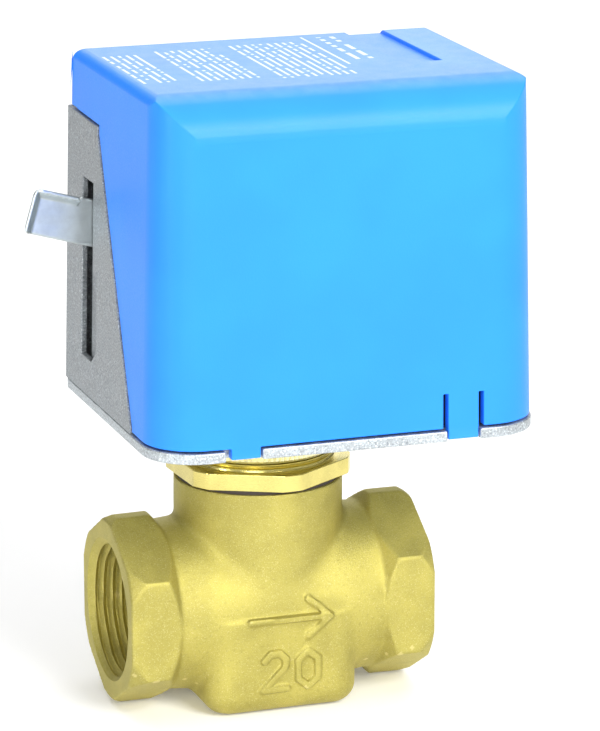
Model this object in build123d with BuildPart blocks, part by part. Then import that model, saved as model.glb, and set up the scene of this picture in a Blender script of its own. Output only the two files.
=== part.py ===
from build123d import *
import os
from math import acos, cos, pi, radians, sin, tan

# Motorised zone valve: a two-port cast brass body with a spring-return actuator on top.
# Millimetres. +X runs along the flow from inlet to outlet, -Y is the front, +Z is up the stem.
# The origin is the centre of the flat pad under the body, on the stem's axis.

# ---------------------------------------------------------------- driving dimensions
FLOW_Z = 18.5                 # height of the flow axis over the pad
BODY_LENGTH = 60.0            # port face to port face
HEX_FLATS = 33.0              # across the flats of each port's hexagon
HEX_LENGTH = 9.6              # length of each port's hexagon
HEX_CORNER_CUT = 18.2         # top and bottom corners are cast flat at this distance
PORT_RADIUS = 13.22           # major radius of a G 3/4 pipe thread
PORT_DEPTH = 14.0
BARREL_RADIUS = 16.9
NECK_RADIUS = 16.0
NECK_TOP = FLOW_Z + 24.2
BELLY_HALF_X = 15.0
BELLY_HALF_Y = 16.9
BELLY_CORNER = 5.0
BELLY_EDGE = 3.8

WEB_BOTTOM = 17.5             # the web that carries the seat, between the two chambers
WEB_TOP = 21.5
WEB_BORE = 10.5
CAGE_FLOOR = WEB_TOP + 1.5
CAGE_BORE = 10.8
SEAT_BORE = 7.5
WINDOW_WIDTH = 14.0           # openings in the cage's tube
WINDOW_HEIGHT = 7.0
CHAMBER_RADIUS = 12.0
CHAMBER_FLOOR = 4.0
NECK_BORE = 13.0

BONNET_BOTTOM = 32.5
BONNET_HEX_BOTTOM = 43.5
BONNET_HEX_TOP = 46.7
BONNET_FLATS = 32.0
BONNET_CORNERS = 34.9         # the bonnet hexagon's corners are cut to this diameter
BONNET_TURN = 26.0            # how far one flat faces round from the front, towards the inlet
SPIGOT_RADIUS = 12.5
SPIGOT_TOP = 56.0
SPRING_POCKET_RADIUS = 8.6
SPRING_POCKET_FLOOR = 45.5

VALVE_SPRING_RADIUS = 6.6
VALVE_SPRING_WIRE = 0.55      # wire radius

STEM_RADIUS = 2.0
STEM_BOTTOM = 9.0
STEM_TOP = 61.5

RING_RADIUS = 15.4
RING_BOTTOM = 48.4
RING_TOP = 56.1
RING_BORE = 12.56
RING_NECK_RADIUS = 13.9
RING_NECK_TOP = 60.3
RING_TEETH = 96

PLATE_BOTTOM = 56.8
PLATE_THICKNESS = 2.0
PLATE_TOP = PLATE_BOTTOM + PLATE_THICKNESS
LEFT = -31.6                  # actuator's sides and ends, measured from the stem
RIGHT = 43.2
FRONT = -38.5
BACK = 21.2
PLATE_CORNER = 10.0

COVER_BOTTOM = 59.2
COVER_TOP = 122.7
COVER_INSET = 0.3             # cover stands this far inside the plate's edge
COVER_WALL = 2.0
COVER_CORNER = 9.7
COVER_TOP_ROUND = 9.0         # rounding along the top front edge
COVER_SIDE_ROUND = 2.5        # rounding along the other top edges
DRAFT = 1.35                  # degrees
SHEET = 1.2                   # thickness of the bracket and gear plates
TAB_LEFT = (-17.5, -12.0)     # X of the cover's two tabs
TAB_RIGHT = (24.0, 29.8)
TAB_BOTTOM = 57.1
NOTCH_LEFT = (-18.6, -11.7)   # and of the notches that they drop into
NOTCH_RIGHT = (23.7, 30.1)
NOTCH_DEPTH = 2.9
SLIT_TOP = 65.7
SLIT_WIDTH = 1.0
RECESS_X = (23.4, 31.0)       # shallow recess in the cover's top
RECESS_FRONT = -14.7
RECESS_DEPTH = 0.8

WING_BOTTOM_FRONT = -21.6     # the wing's front edge slopes from here
WING_TOP_FRONT = 1.5          # to here
WING_TOP = 111.5
FLANGE_FRONT = 0.5            # the flanges under the bracket start here
FIT_GAP = 0.3                 # clearance between pieces that part from each other
LEAN = tan(radians(DRAFT))
RISE = WING_TOP - PLATE_TOP

GUIDE_Y = (-1.2, 8.0)         # strip behind the slot, in front of the lever's path
GUIDE_Z = (60.05, 103.2)
GUIDE_THICKNESS = 0.8
SLOT_BACK = 10.7              # slot that the manual lever comes out of
SLOT_FRONT_UPPER = 3.5
SLOT_FRONT_LOWER = 1.0
SLOT_BOTTOM = 66.0
SLOT_STEP = 83.0
SLOT_TOP = 100.0

LIFT_PER_RADIAN = 8.25        # stem travel for each radian of the lever
PIVOT = (LIFT_PER_RADIAN, 80.5)
LEVER_REST_ANGLE = 164.0      # direction of the arm from the pivot, degrees from +X
LEVER_RANGE = 25.0
CAM_GAP = 0.25                # between the cam and the top of the stem at rest
ARM_WIDTH = 9.0
ARM_END_RADIUS = 52.3

SECTOR_TEETH = 50
SECTOR_MODULE = 0.8
TRAIN_MODULE = 0.5
WHEEL_TEETH = 36
PINION_TEETH = 12
MESH_PLAY = 0.05              # added to each centre distance
PRESSURE_ANGLE = radians(20)
ADDENDUM = 0.75
DEDENDUM = 1.1

GEAR_TWO_ANGLE = 80.0         # direction from the pivot to the second gear
GEAR_ONE_ANGLE = -20.0        # from the second gear to the first
MOTOR_ANGLE = 220.0           # from the first gear to the motor
MOTOR_RADIUS = 20.5
AXLE_RADIUS = 1.0
AXLE_FIT = 0.03               # radial running clearance on axles and pins
PIN_RADIUS = 2.0

FRONT_PLATE_BACK = -3.0       # Y of each layer's rear face, from front to back
REAR_PLATE_BACK = 15.8
MOTOR_FRONT = -23.0
PLATE_GAP = REAR_PLATE_BACK - SHEET - FRONT_PLATE_BACK
FRONT_PLATE_FACE = FRONT_PLATE_BACK - SHEET
LID_FRONT = FRONT_PLATE_FACE - 1.0
SECTOR_BACK = 8.4
ARM_BACK = SECTOR_BACK + SHEET
TUBE_RADIUS = 3.6
RETURN_COIL_RADIUS = 4.7
RETURN_WIRE = 0.4             # wire radius
BLOCK_TOP = PLATE_TOP + 12.0


def polar(centre, radius, degrees):
    """A point at a radius and an angle from a centre, in a plane."""
    return (centre[0] + radius * cos(radians(degrees)), centre[1] + radius * sin(radians(degrees)))


GEAR_TWO = polar(PIVOT, (SECTOR_TEETH + PINION_TEETH) * SECTOR_MODULE / 2 + MESH_PLAY, GEAR_TWO_ANGLE)
TRAIN_CENTRES = (WHEEL_TEETH + PINION_TEETH) * TRAIN_MODULE / 2 + MESH_PLAY
GEAR_ONE = polar(GEAR_TWO, TRAIN_CENTRES, GEAR_ONE_ANGLE)
MOTOR = polar(GEAR_ONE, TRAIN_CENTRES, MOTOR_ANGLE)
PILLARS = [(-14.0, 110.0), (34.0, 112.0), (34.0, 71.5)]
MOTOR_EARS = [polar(MOTOR, 24.0, 135), polar(MOTOR, 24.0, -45)]
BRACKET_SCREWS = [(x, y) for x in (LEFT + 6.0, RIGHT - 6.0) for y in (5.0, 15.0)]
FOOT_SCREWS = [(-24.0, -9.6), (25.0, -9.6)]
GROMMET = (32.0, 80.0)        # X and Z of the cable inlet in the back of the bracket
EARTH_SCREW = (-20.0, 72.0)
RIVETS = [polar(PIVOT, radius, LEVER_REST_ANGLE) for radius in (12.0, 20.0)]
TERMINALS = [7.0, 17.0, 27.0]  # X of each terminal
TERMINAL_Y = -29.5


# ---------------------------------------------------------------- helpers
def facing_front(y, centre=(0, 0)):
    """Plane at depth y whose sketch reads as X and Z; extruding it goes towards the front."""
    return Plane((centre[0], y, centre[1]), x_dir=(1, 0, 0), z_dir=(0, -1, 0))


def disc(y_back, thickness, radius, centre, mode=Mode.ADD):
    """A round slab across Y that ends at y_back."""
    with BuildSketch(facing_front(y_back, centre)) as profile:
        Circle(radius)
    extrude(profile.sketch, amount=thickness, mode=mode)


def rod(z_bottom, z_top, radius, mode=Mode.ADD, at=((0, 0),)):
    """Upright cylinders between two heights."""
    with BuildSketch(Plane.XY.offset(z_bottom)) as profile:
        with Locations(*at):
            Circle(radius)
    extrude(profile.sketch, amount=z_top - z_bottom, mode=mode)


def block(x, y, z, mode=Mode.ADD):
    """A box given by its limits along each axis."""
    with BuildSketch(Plane.XY.offset(z[0])) as profile:
        with Locations(((x[0] + x[1]) / 2, (y[0] + y[1]) / 2)):
            Rectangle(x[1] - x[0], y[1] - y[0])
    extrude(profile.sketch, amount=z[1] - z[0], mode=mode)


def across(y_back, thickness, radius, points, mode=Mode.ADD):
    """Round studs or holes along Y at a list of X, Z points."""
    with BuildSketch(facing_front(y_back)) as profile:
        with Locations(*points):
            Circle(radius)
    extrude(profile.sketch, amount=thickness, mode=mode)


def gear_outline(module, teeth, first_tooth, play=0.06):
    """Spur gear about the sketch's origin, with one tooth centred on an angle in degrees."""
    pitch = module * teeth / 2
    base = pitch * cos(PRESSURE_ANGLE)
    tip = pitch + ADDENDUM * module
    root = pitch - DEDENDUM * module
    half_tooth = pi / (2 * teeth) - play / (2 * pitch)
    start = max(base, root)

    def involute(radius):
        angle = acos(base / radius)
        return tan(angle) - angle

    def half_angle(radius):
        return half_tooth + involute(pitch) - involute(radius)

    def point(radius, angle):
        return (radius * cos(angle), radius * sin(angle))

    middle = (start + tip) / 2
    with BuildLine() as outline:
        for tooth in range(teeth):
            centre = radians(first_tooth) + 2 * pi * tooth / teeth
            low, mid, high = (half_angle(radius) for radius in (start, middle, tip))
            if start > root:
                Line(point(root, centre - low), point(start, centre - low))
                Line(point(start, centre + low), point(root, centre + low))
            ThreePointArc(
                point(start, centre - low), point(middle, centre - mid), point(tip, centre - high))
            Line(point(tip, centre - high), point(tip, centre + high))
            ThreePointArc(
                point(tip, centre + high), point(middle, centre + mid), point(start, centre + low))
            Line(point(root, centre + low), point(root, centre + 2 * pi / teeth - low))
    make_face(outline.edges())


def save(name, label):
    """Label a finished piece and write its STEP file."""
    name.part.label = label
    export_step(name.part, f"parts/{label}.step")


os.makedirs("parts", exist_ok=True)

# ---------------------------------------------------------------- valve body
with BuildPart() as valve_body:
    # barrel along the flow
    with BuildSketch(Plane.YZ.offset(-BODY_LENGTH / 2 + 4)):
        with Locations((0, FLOW_Z)):
            Circle(BARREL_RADIUS)
    extrude(amount=BODY_LENGTH - 8)
    # neck, and the square belly that reaches down to the pad
    rod(FLOW_Z, NECK_TOP, NECK_RADIUS)
    with BuildSketch(Plane.XY):
        RectangleRounded(2 * BELLY_HALF_X, 2 * BELLY_HALF_Y, BELLY_CORNER)
    extrude(amount=FLOW_Z)
    fillet(valve_body.edges().group_by(Axis.Z)[0], BELLY_EDGE)
    # hexagons round the ports
    for end in (-1, 1):
        face_x = end * BODY_LENGTH / 2
        with BuildSketch(Plane.YZ.offset(face_x)):
            with Locations((0, FLOW_Z)):
                RegularPolygon(HEX_FLATS / 2, 6, major_radius=False, rotation=30)
            with Locations((0, FLOW_Z)):
                Rectangle(2 * HEX_FLATS, 2 * HEX_CORNER_CUT, mode=Mode.INTERSECT)
        extrude(amount=-end * HEX_LENGTH)
    # turned bevel on the corners of both end faces
    with BuildSketch(Plane.XZ) as bevel:
        with BuildLine():
            Polyline(
                (-BODY_LENGTH / 2 - 1, FLOW_Z + 15.92),
                (-BODY_LENGTH / 2 + 4.2, FLOW_Z + 18.92),
                (-BODY_LENGTH / 2 + 4.2, FLOW_Z + 24),
                (-BODY_LENGTH / 2 - 1, FLOW_Z + 24),
                close=True)
        make_face()
    flow_axis = Axis((0, 0, FLOW_Z), (1, 0, 0))
    revolve(axis=flow_axis, mode=Mode.SUBTRACT)
    with BuildSketch(Plane.XZ):
        add(mirror(bevel.sketch, about=Plane.YZ, mode=Mode.PRIVATE))
    revolve(axis=flow_axis, mode=Mode.SUBTRACT)
    # ports, chambers either side of the web, and the neck's bore
    for end in (-1, 1):
        with BuildSketch(Plane.YZ.offset(end * BODY_LENGTH / 2)):
            with Locations((0, FLOW_Z)):
                Circle(PORT_RADIUS)
        extrude(amount=-end * PORT_DEPTH, mode=Mode.SUBTRACT)
    rod(CHAMBER_FLOOR, WEB_BOTTOM, CHAMBER_RADIUS, Mode.SUBTRACT)
    rod(WEB_BOTTOM, WEB_TOP, WEB_BORE, Mode.SUBTRACT)
    rod(WEB_TOP, NECK_TOP, NECK_BORE, Mode.SUBTRACT)
    block((-17, 0), (-9, 9), (7.5, WEB_BOTTOM), Mode.SUBTRACT)
    block((0, 17), (-9, 9), (WEB_TOP, 29.5), Mode.SUBTRACT)
save(valve_body, "valve_body")

with BuildPart() as seat_cage:
    # seat ring in the web, flange on top of it, and a windowed tube up to the bonnet
    rod(WEB_BOTTOM, WEB_TOP, WEB_BORE - 0.02)
    rod(WEB_TOP, BONNET_BOTTOM, NECK_BORE - 0.3)
    rod(CAGE_FLOOR, BONNET_BOTTOM, CAGE_BORE, Mode.SUBTRACT)
    rod(WEB_BOTTOM, CAGE_FLOOR, SEAT_BORE, Mode.SUBTRACT)
    with BuildSketch(Plane.XY.offset(CAGE_FLOOR)):
        for turn in (0, 90):
            Rectangle(WINDOW_WIDTH, 4 * NECK_BORE, rotation=turn)
    extrude(amount=WINDOW_HEIGHT, mode=Mode.SUBTRACT)
save(seat_cage, "seat_cage")

with BuildPart() as bonnet_gasket:
    rod(NECK_TOP, BONNET_HEX_BOTTOM, 15.5)
    rod(NECK_TOP, BONNET_HEX_BOTTOM, NECK_BORE + 0.1, Mode.SUBTRACT)
save(bonnet_gasket, "bonnet_gasket")

with BuildPart() as bonnet:
    with BuildSketch(Plane.XY.offset(BONNET_HEX_BOTTOM)):
        RegularPolygon(BONNET_FLATS / 2, 6, major_radius=False, rotation=-BONNET_TURN)
        Circle(BONNET_CORNERS / 2, mode=Mode.INTERSECT)
    extrude(amount=BONNET_HEX_TOP - BONNET_HEX_BOTTOM)
    # turned profile: threaded plug below, grooved shoulder and threaded spigot above
    with BuildSketch(Plane.XZ):
        with BuildLine():
            Polyline(
                (0, BONNET_BOTTOM), (NECK_BORE - 0.02, BONNET_BOTTOM),
                (NECK_BORE - 0.02, BONNET_HEX_BOTTOM), (14.4, BONNET_HEX_BOTTOM),
                (14.4, 47.2), (13.7, 47.4), (13.7, 47.6), (14.2, 47.8), (14.2, 48.1),
                (SPIGOT_RADIUS, 48.1), (SPIGOT_RADIUS, SPIGOT_TOP - 0.6),
                (SPIGOT_RADIUS - 0.6, SPIGOT_TOP), (0, SPIGOT_TOP),
                close=True)
        make_face()
    revolve(axis=Axis.Z)
    rod(SPRING_POCKET_FLOOR, SPIGOT_TOP, SPRING_POCKET_RADIUS, Mode.SUBTRACT)
    rod(36.0, SPRING_POCKET_FLOOR, 4.5, Mode.SUBTRACT)
    rod(BONNET_BOTTOM, 36.0, STEM_RADIUS + AXLE_FIT, Mode.SUBTRACT)
save(bonnet, "bonnet")

with BuildPart() as stem_seals:
    for height in (37.3, 40.1):
        with BuildSketch(Plane.XZ):
            with Locations((3.26, height)):
                Circle(1.18)
        revolve(axis=Axis.Z)
save(stem_seals, "stem_seals")

with BuildPart() as gland_bush:
    rod(41.6, SPRING_POCKET_FLOOR, 4.48)
    rod(41.6, SPRING_POCKET_FLOOR, STEM_RADIUS + AXLE_FIT, Mode.SUBTRACT)
save(gland_bush, "gland_bush")

with BuildPart() as valve_spring:
    spring_floor = SPRING_POCKET_FLOOR + VALVE_SPRING_WIRE + 0.02
    with BuildLine():
        coil = Helix(pitch=2.3, height=10.2, radius=VALVE_SPRING_RADIUS, center=(0, 0, spring_floor))
    with BuildSketch(Plane(origin=coil @ 0, z_dir=coil % 0)):
        Circle(VALVE_SPRING_WIRE)
    sweep(path=coil)
save(valve_spring, "valve_spring")

# ---------------------------------------------------------------- stem and plug
with BuildPart() as valve_stem:
    rod(STEM_BOTTOM, STEM_TOP - 1.2, STEM_RADIUS)
    rod(STEM_TOP - 1.2, STEM_TOP, 4.2)
    fillet(valve_stem.edges().group_by(Axis.Z)[-1], 0.5)
save(valve_stem, "valve_stem")

with BuildPart() as spring_cap:
    with BuildSketch(Plane.XZ):
        with BuildLine():
            Polyline(
                (STEM_RADIUS, 57.3), (7.9, 57.3), (7.9, 58.4), (4.4, 58.4), (3.9, STEM_TOP - 1.2),
                (STEM_RADIUS, STEM_TOP - 1.2), close=True)
        make_face()
    revolve(axis=Axis.Z)
save(spring_cap, "spring_cap")

with BuildPart() as plug_nut:
    with BuildSketch(Plane.XY.offset(9.4)):
        RegularPolygon(3.5, 6, major_radius=False)
        Circle(STEM_RADIUS, mode=Mode.SUBTRACT)
    extrude(amount=2.8)
save(plug_nut, "plug_nut")

with BuildPart() as plug_disc:
    rod(12.2, 14.6, 9.7)
    rod(12.2, 14.6, STEM_RADIUS, Mode.SUBTRACT)
save(plug_disc, "plug_disc")

with BuildPart() as plug_washer:
    rod(14.6, WEB_BOTTOM - FIT_GAP, 9.4)
    rod(14.6, WEB_BOTTOM - FIT_GAP, STEM_RADIUS, Mode.SUBTRACT)
    fillet(plug_washer.edges().group_by(Axis.Z)[-1].sort_by(SortBy.LENGTH)[-1], 0.6)
save(plug_washer, "plug_washer")

# ---------------------------------------------------------------- union ring
with BuildPart() as ring_nut:
    rod(RING_BOTTOM, RING_TOP, RING_RADIUS)
    chamfer(ring_nut.edges().filter_by(GeomType.CIRCLE), 0.4)
    # straight knurl
    with BuildSketch(Plane.XY.offset(RING_BOTTOM)):
        with PolarLocations(RING_RADIUS, RING_TEETH):
            RegularPolygon(0.34, 3, rotation=180)
    extrude(amount=RING_TOP - RING_BOTTOM, mode=Mode.SUBTRACT)
    rod(RING_TOP, RING_NECK_TOP, RING_NECK_RADIUS)
    with BuildSketch(Plane.XY.offset(59.05)):
        Circle(RING_NECK_RADIUS)
        Circle(13.3, mode=Mode.SUBTRACT)
    extrude(amount=0.85, mode=Mode.SUBTRACT)
    rod(RING_BOTTOM, RING_NECK_TOP, RING_BORE, Mode.SUBTRACT)
save(ring_nut, "ring_nut")

with BuildPart() as ring_washer:
    rod(RING_TOP, RING_TOP + 0.4, 15.0)
    rod(RING_TOP, RING_TOP + 0.4, RING_NECK_RADIUS + 0.02, Mode.SUBTRACT)
save(ring_washer, "ring_washer")

with BuildPart() as ring_clip:
    with BuildSketch(Plane.XY.offset(59.1)):
        Circle(15.3)
        Circle(13.32, mode=Mode.SUBTRACT)
        with Locations((0, 15)):
            Rectangle(7, 6, mode=Mode.SUBTRACT)
    extrude(amount=0.75)
save(ring_clip, "ring_clip")

# ---------------------------------------------------------------- base plate and bracket
with BuildPart() as base_plate:
    with BuildSketch(Plane.XY.offset(PLATE_BOTTOM)) as plan:
        with Locations(((LEFT + RIGHT) / 2, (FRONT + BACK) / 2)):
            Rectangle(RIGHT - LEFT, BACK - FRONT)
        fillet(plan.vertices().group_by(Axis.Y)[0], PLATE_CORNER)
        fillet(plan.vertices().group_by(Axis.Y)[-1], 1.5)
        Circle(RING_NECK_RADIUS + 0.08, mode=Mode.SUBTRACT)
        for notch in (NOTCH_LEFT, NOTCH_RIGHT):
            with Locations((sum(notch) / 2, FRONT)):
                Rectangle(notch[1] - notch[0], 2 * NOTCH_DEPTH, mode=Mode.SUBTRACT)
        with Locations(*BRACKET_SCREWS, *FOOT_SCREWS):
            Circle(1.55, mode=Mode.SUBTRACT)
    extrude(amount=PLATE_THICKNESS)
save(base_plate, "base_plate")


def wing_plane(x, side):
    """Plane across X that leans inwards with the cover's draft; its x is side times Y."""
    normal = (side * cos(radians(DRAFT)), 0, sin(radians(DRAFT)))
    return Plane((x, 0, PLATE_TOP), x_dir=(0, side, 0), z_dir=normal)


def wing_outline(side, grow=0.0):
    """Side of the bracket, grown by a clearance for the cover's cut-out."""
    with BuildLine() as outline:
        Polyline(
            (side * (BACK + 4 * grow), 0.03), (side * (WING_BOTTOM_FRONT - grow), 0.03),
            (side * (WING_BOTTOM_FRONT - grow), 1.2),
            (side * (WING_TOP_FRONT - grow), RISE - 2.0 + grow),
            (side * (WING_TOP_FRONT - grow), RISE - 0.4 + grow),
            (side * (BACK + 4 * grow), RISE + grow), close=True)
    make_face(outline.edges())


def slot_outline(side):
    """Slot of the manual lever, wider below so that the lever can be hooked down."""
    with BuildLine() as outline:
        Polyline(
            (side * SLOT_BACK, SLOT_TOP - PLATE_TOP), (side * SLOT_BACK, SLOT_BOTTOM - PLATE_TOP),
            (side * (SLOT_FRONT_LOWER + 3), SLOT_BOTTOM - PLATE_TOP),
            (side * SLOT_FRONT_LOWER, SLOT_BOTTOM - PLATE_TOP + 2.5),
            (side * SLOT_FRONT_LOWER, SLOT_STEP - PLATE_TOP),
            (side * SLOT_FRONT_UPPER, SLOT_STEP - PLATE_TOP),
            (side * SLOT_FRONT_UPPER, SLOT_TOP - PLATE_TOP), close=True)
    make_face(outline.edges())


with BuildPart() as rear_bracket:
    # back, narrowing upwards between the wings
    with BuildSketch(facing_front(BACK)):
        with BuildLine():
            Polyline(
                (LEFT, PLATE_TOP), (RIGHT, PLATE_TOP), (RIGHT - RISE * LEAN, WING_TOP),
                (LEFT + RISE * LEAN, WING_TOP), close=True)
        make_face()
    extrude(amount=SHEET)
    # wings, with flanges that are screwed to the base plate
    for x, side in ((LEFT, -1), (RIGHT, 1)):
        with BuildSketch(wing_plane(x, side)):
            wing_outline(side)
        extrude(amount=-SHEET)
        flange = sorted((x - side * 0.5, x - side * 10.0))
        block(flange, (FLANGE_FRONT, BACK - SHEET), (PLATE_TOP, PLATE_TOP + SHEET))
    # slots, cable inlet and screw holes
    with BuildSketch(wing_plane(LEFT, -1)):
        slot_outline(-1)
    extrude(amount=-2 * SHEET, mode=Mode.SUBTRACT)
    disc(BACK, SHEET, 6.0, GROMMET, Mode.SUBTRACT)
    disc(BACK, SHEET, 1.55, EARTH_SCREW, Mode.SUBTRACT)
    rod(PLATE_TOP, PLATE_TOP + SHEET, 1.55, Mode.SUBTRACT, BRACKET_SCREWS)
save(rear_bracket, "rear_bracket")

with BuildPart() as slot_guide:
    with BuildSketch(wing_plane(LEFT + SHEET + 0.1, -1)):
        with Locations((-sum(GUIDE_Y) / 2, sum(GUIDE_Z) / 2 - PLATE_TOP)):
            Rectangle(GUIDE_Y[1] - GUIDE_Y[0], GUIDE_Z[1] - GUIDE_Z[0])
    extrude(amount=-GUIDE_THICKNESS)
save(slot_guide, "slot_guide")

with BuildPart() as bracket_screws:
    rod(PLATE_BOTTOM - 1.5, PLATE_BOTTOM, 2.7, at=BRACKET_SCREWS)
    fillet(bracket_screws.edges().group_by(Axis.Z)[0], 0.7)
    rod(PLATE_BOTTOM, PLATE_TOP + SHEET + 1.0, 1.5, at=BRACKET_SCREWS)
save(bracket_screws, "bracket_screws")

with BuildPart() as foot_screws:
    rod(PLATE_BOTTOM - 1.5, PLATE_BOTTOM, 2.7, at=FOOT_SCREWS)
    fillet(foot_screws.edges().group_by(Axis.Z)[0], 0.7)
    rod(PLATE_BOTTOM, PLATE_TOP + SHEET + 1.0, 1.5, at=FOOT_SCREWS)
save(foot_screws, "foot_screws")

with BuildPart() as cable_grommet:
    disc(BACK - SHEET, 2.5, 8.0, GROMMET)
    disc(BACK, SHEET, 5.97, GROMMET)
    disc(BACK, SHEET + 2.5, 3.6, GROMMET, Mode.SUBTRACT)
save(cable_grommet, "cable_grommet")

with BuildPart() as earth_screw:
    disc(BACK - SHEET, 2.0, 3.0, EARTH_SCREW)
    disc(BACK, SHEET, 1.5, EARTH_SCREW)
save(earth_screw, "earth_screw")

# ---------------------------------------------------------------- gear frame
with BuildPart() as front_gear_plate:
    with BuildSketch(facing_front(FRONT_PLATE_BACK)):
        with BuildLine():
            Polyline(
                (-28, PLATE_TOP), (-20, PLATE_TOP), (-17, 66), (17, 66), (20, PLATE_TOP),
                (30, PLATE_TOP), (32, 66), (38, 68), (38, 114), (34, 117), (-18, 117), (-22, 112),
                (-24, 90), close=True)
        make_face()
        with Locations(MOTOR):
            Circle(4.2, mode=Mode.SUBTRACT)
        with Locations(*MOTOR_EARS):
            Circle(1.55, mode=Mode.SUBTRACT)
    extrude(amount=SHEET)
    for limits in ((-28, -20), (20, 30)):
        block(limits, (FRONT_PLATE_FACE - 9.0, FRONT_PLATE_FACE), (PLATE_TOP, PLATE_TOP + SHEET))
    rod(PLATE_TOP, PLATE_TOP + SHEET, 1.55, Mode.SUBTRACT, FOOT_SCREWS)
save(front_gear_plate, "front_gear_plate")

with BuildPart() as rear_gear_plate:
    with BuildSketch(facing_front(REAR_PLATE_BACK)):
        with BuildLine():
            Polyline(
                (-2, 74), (4, 67), (38, 67), (38, 113), (34, 117), (-17, 117), (-19, 108), close=True)
        make_face()
    extrude(amount=SHEET)
save(rear_gear_plate, "rear_gear_plate")

with BuildPart() as plate_pillars:
    across(REAR_PLATE_BACK - SHEET, PLATE_GAP, 2.4, PILLARS)
save(plate_pillars, "plate_pillars")

with BuildPart() as pillar_screws:
    with BuildSketch(facing_front(REAR_PLATE_BACK + 1.6)):
        with Locations(*PILLARS):
            Circle(2.6)
            Rectangle(3.6, 0.7, mode=Mode.SUBTRACT)
    extrude(amount=1.6)
save(pillar_screws, "pillar_screws")

with BuildPart() as lever_pivot_pin:
    disc(REAR_PLATE_BACK - SHEET, PLATE_GAP, PIN_RADIUS, PIVOT)
save(lever_pivot_pin, "lever_pivot_pin")

with BuildPart() as gear_axles:
    across(REAR_PLATE_BACK - SHEET, PLATE_GAP, AXLE_RADIUS, (GEAR_ONE, GEAR_TWO))
save(gear_axles, "gear_axles")

# ---------------------------------------------------------------- motor
with BuildPart() as motor_lid:
    with BuildSketch(facing_front(FRONT_PLATE_FACE)):
        with Locations(MOTOR):
            Circle(MOTOR_RADIUS - 0.9)
        for ear in MOTOR_EARS:
            with Locations(ear):
                Circle(3.4)
            with Locations(((ear[0] + MOTOR[0]) / 2, (ear[1] + MOTOR[1]) / 2)):
                Rectangle(24, 5, rotation=135)
        with Locations(*MOTOR_EARS):
            Circle(1.55, mode=Mode.SUBTRACT)
        with Locations(MOTOR):
            Circle(AXLE_RADIUS + AXLE_FIT, mode=Mode.SUBTRACT)
    extrude(amount=1.0)
save(motor_lid, "motor_lid")

with BuildPart() as motor_can:
    disc(LID_FRONT, LID_FRONT - MOTOR_FRONT, MOTOR_RADIUS, MOTOR)
    fillet(motor_can.edges().group_by(Axis.Y)[0], 1.5)
    disc(LID_FRONT, LID_FRONT - MOTOR_FRONT - 0.8, MOTOR_RADIUS - 0.8, MOTOR, Mode.SUBTRACT)
save(motor_can, "motor_can")

with BuildPart() as motor_screws:
    across(LID_FRONT, 1.6, 2.6, MOTOR_EARS)
    across(FRONT_PLATE_BACK, SHEET + 1.0, 1.5, MOTOR_EARS)
save(motor_screws, "motor_screws")

with BuildPart() as stator_coil:
    disc(-7.0, 14.0, 18.8, MOTOR)
    disc(-7.0, 14.0, 11.5, MOTOR, Mode.SUBTRACT)
save(stator_coil, "stator_coil")

with BuildPart() as stator_poles:
    disc(-6.4, 15.0, 11.3, MOTOR)
    disc(-6.4, 15.0, 10.0, MOTOR, Mode.SUBTRACT)
    # slots between the poles
    with BuildSketch(facing_front(-8.0, MOTOR)):
        with PolarLocations(10.6, 12):
            Rectangle(3.0, 1.2)
    extrude(amount=12.0, mode=Mode.SUBTRACT)
save(stator_poles, "stator_poles")

with BuildPart() as motor_shaft:
    disc(-0.2, 21.6, AXLE_RADIUS, MOTOR)
save(motor_shaft, "motor_shaft")

with BuildPart() as rotor_magnet:
    disc(-8.0, 11.0, 9.2, MOTOR)
    disc(-8.0, 11.0, 6.4, MOTOR, Mode.SUBTRACT)
    disc(-12.5, 2.0, 6.6, MOTOR)
    disc(-12.5, 2.0, AXLE_RADIUS, MOTOR, Mode.SUBTRACT)
save(rotor_magnet, "rotor_magnet")

with BuildPart() as motor_pinion:
    with BuildSketch(facing_front(-0.4, MOTOR)):
        gear_outline(TRAIN_MODULE, PINION_TEETH, MOTOR_ANGLE - 180 + 180 / PINION_TEETH)
        Circle(AXLE_RADIUS, mode=Mode.SUBTRACT)
    extrude(amount=2.2)
save(motor_pinion, "motor_pinion")

# ---------------------------------------------------------------- gear train
with BuildPart() as gear_one:
    with BuildSketch(facing_front(-0.4, GEAR_ONE)):
        gear_outline(TRAIN_MODULE, WHEEL_TEETH, MOTOR_ANGLE)
    extrude(amount=2.0)
    with BuildSketch(facing_front(3.6, GEAR_ONE)):
        gear_outline(TRAIN_MODULE, PINION_TEETH, GEAR_ONE_ANGLE + 180 + 180 / PINION_TEETH)
    extrude(amount=4.0)
    disc(3.6, 6.0, AXLE_RADIUS + AXLE_FIT, GEAR_ONE, Mode.SUBTRACT)
save(gear_one, "gear_one")

with BuildPart() as gear_two:
    with BuildSketch(facing_front(2.9, GEAR_TWO)):
        gear_outline(TRAIN_MODULE, WHEEL_TEETH, GEAR_ONE_ANGLE)
    extrude(amount=2.0)
    with BuildSketch(facing_front(9.2, GEAR_TWO)):
        gear_outline(SECTOR_MODULE, PINION_TEETH, GEAR_TWO_ANGLE + 180 + 180 / PINION_TEETH)
    extrude(amount=6.3)
    disc(9.2, 8.3, AXLE_RADIUS + AXLE_FIT, GEAR_TWO, Mode.SUBTRACT)
save(gear_two, "gear_two")

# ---------------------------------------------------------------- lever


def arm_outline(inner, outer, width, mode=Mode.ADD):
    """Straight strip from the pivot towards the lever's handle, about the pivot."""
    with Locations(polar((0, 0), (inner + outer) / 2, LEVER_REST_ANGLE)):
        Rectangle(outer - inner, width, rotation=LEVER_REST_ANGLE, mode=mode)


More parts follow.
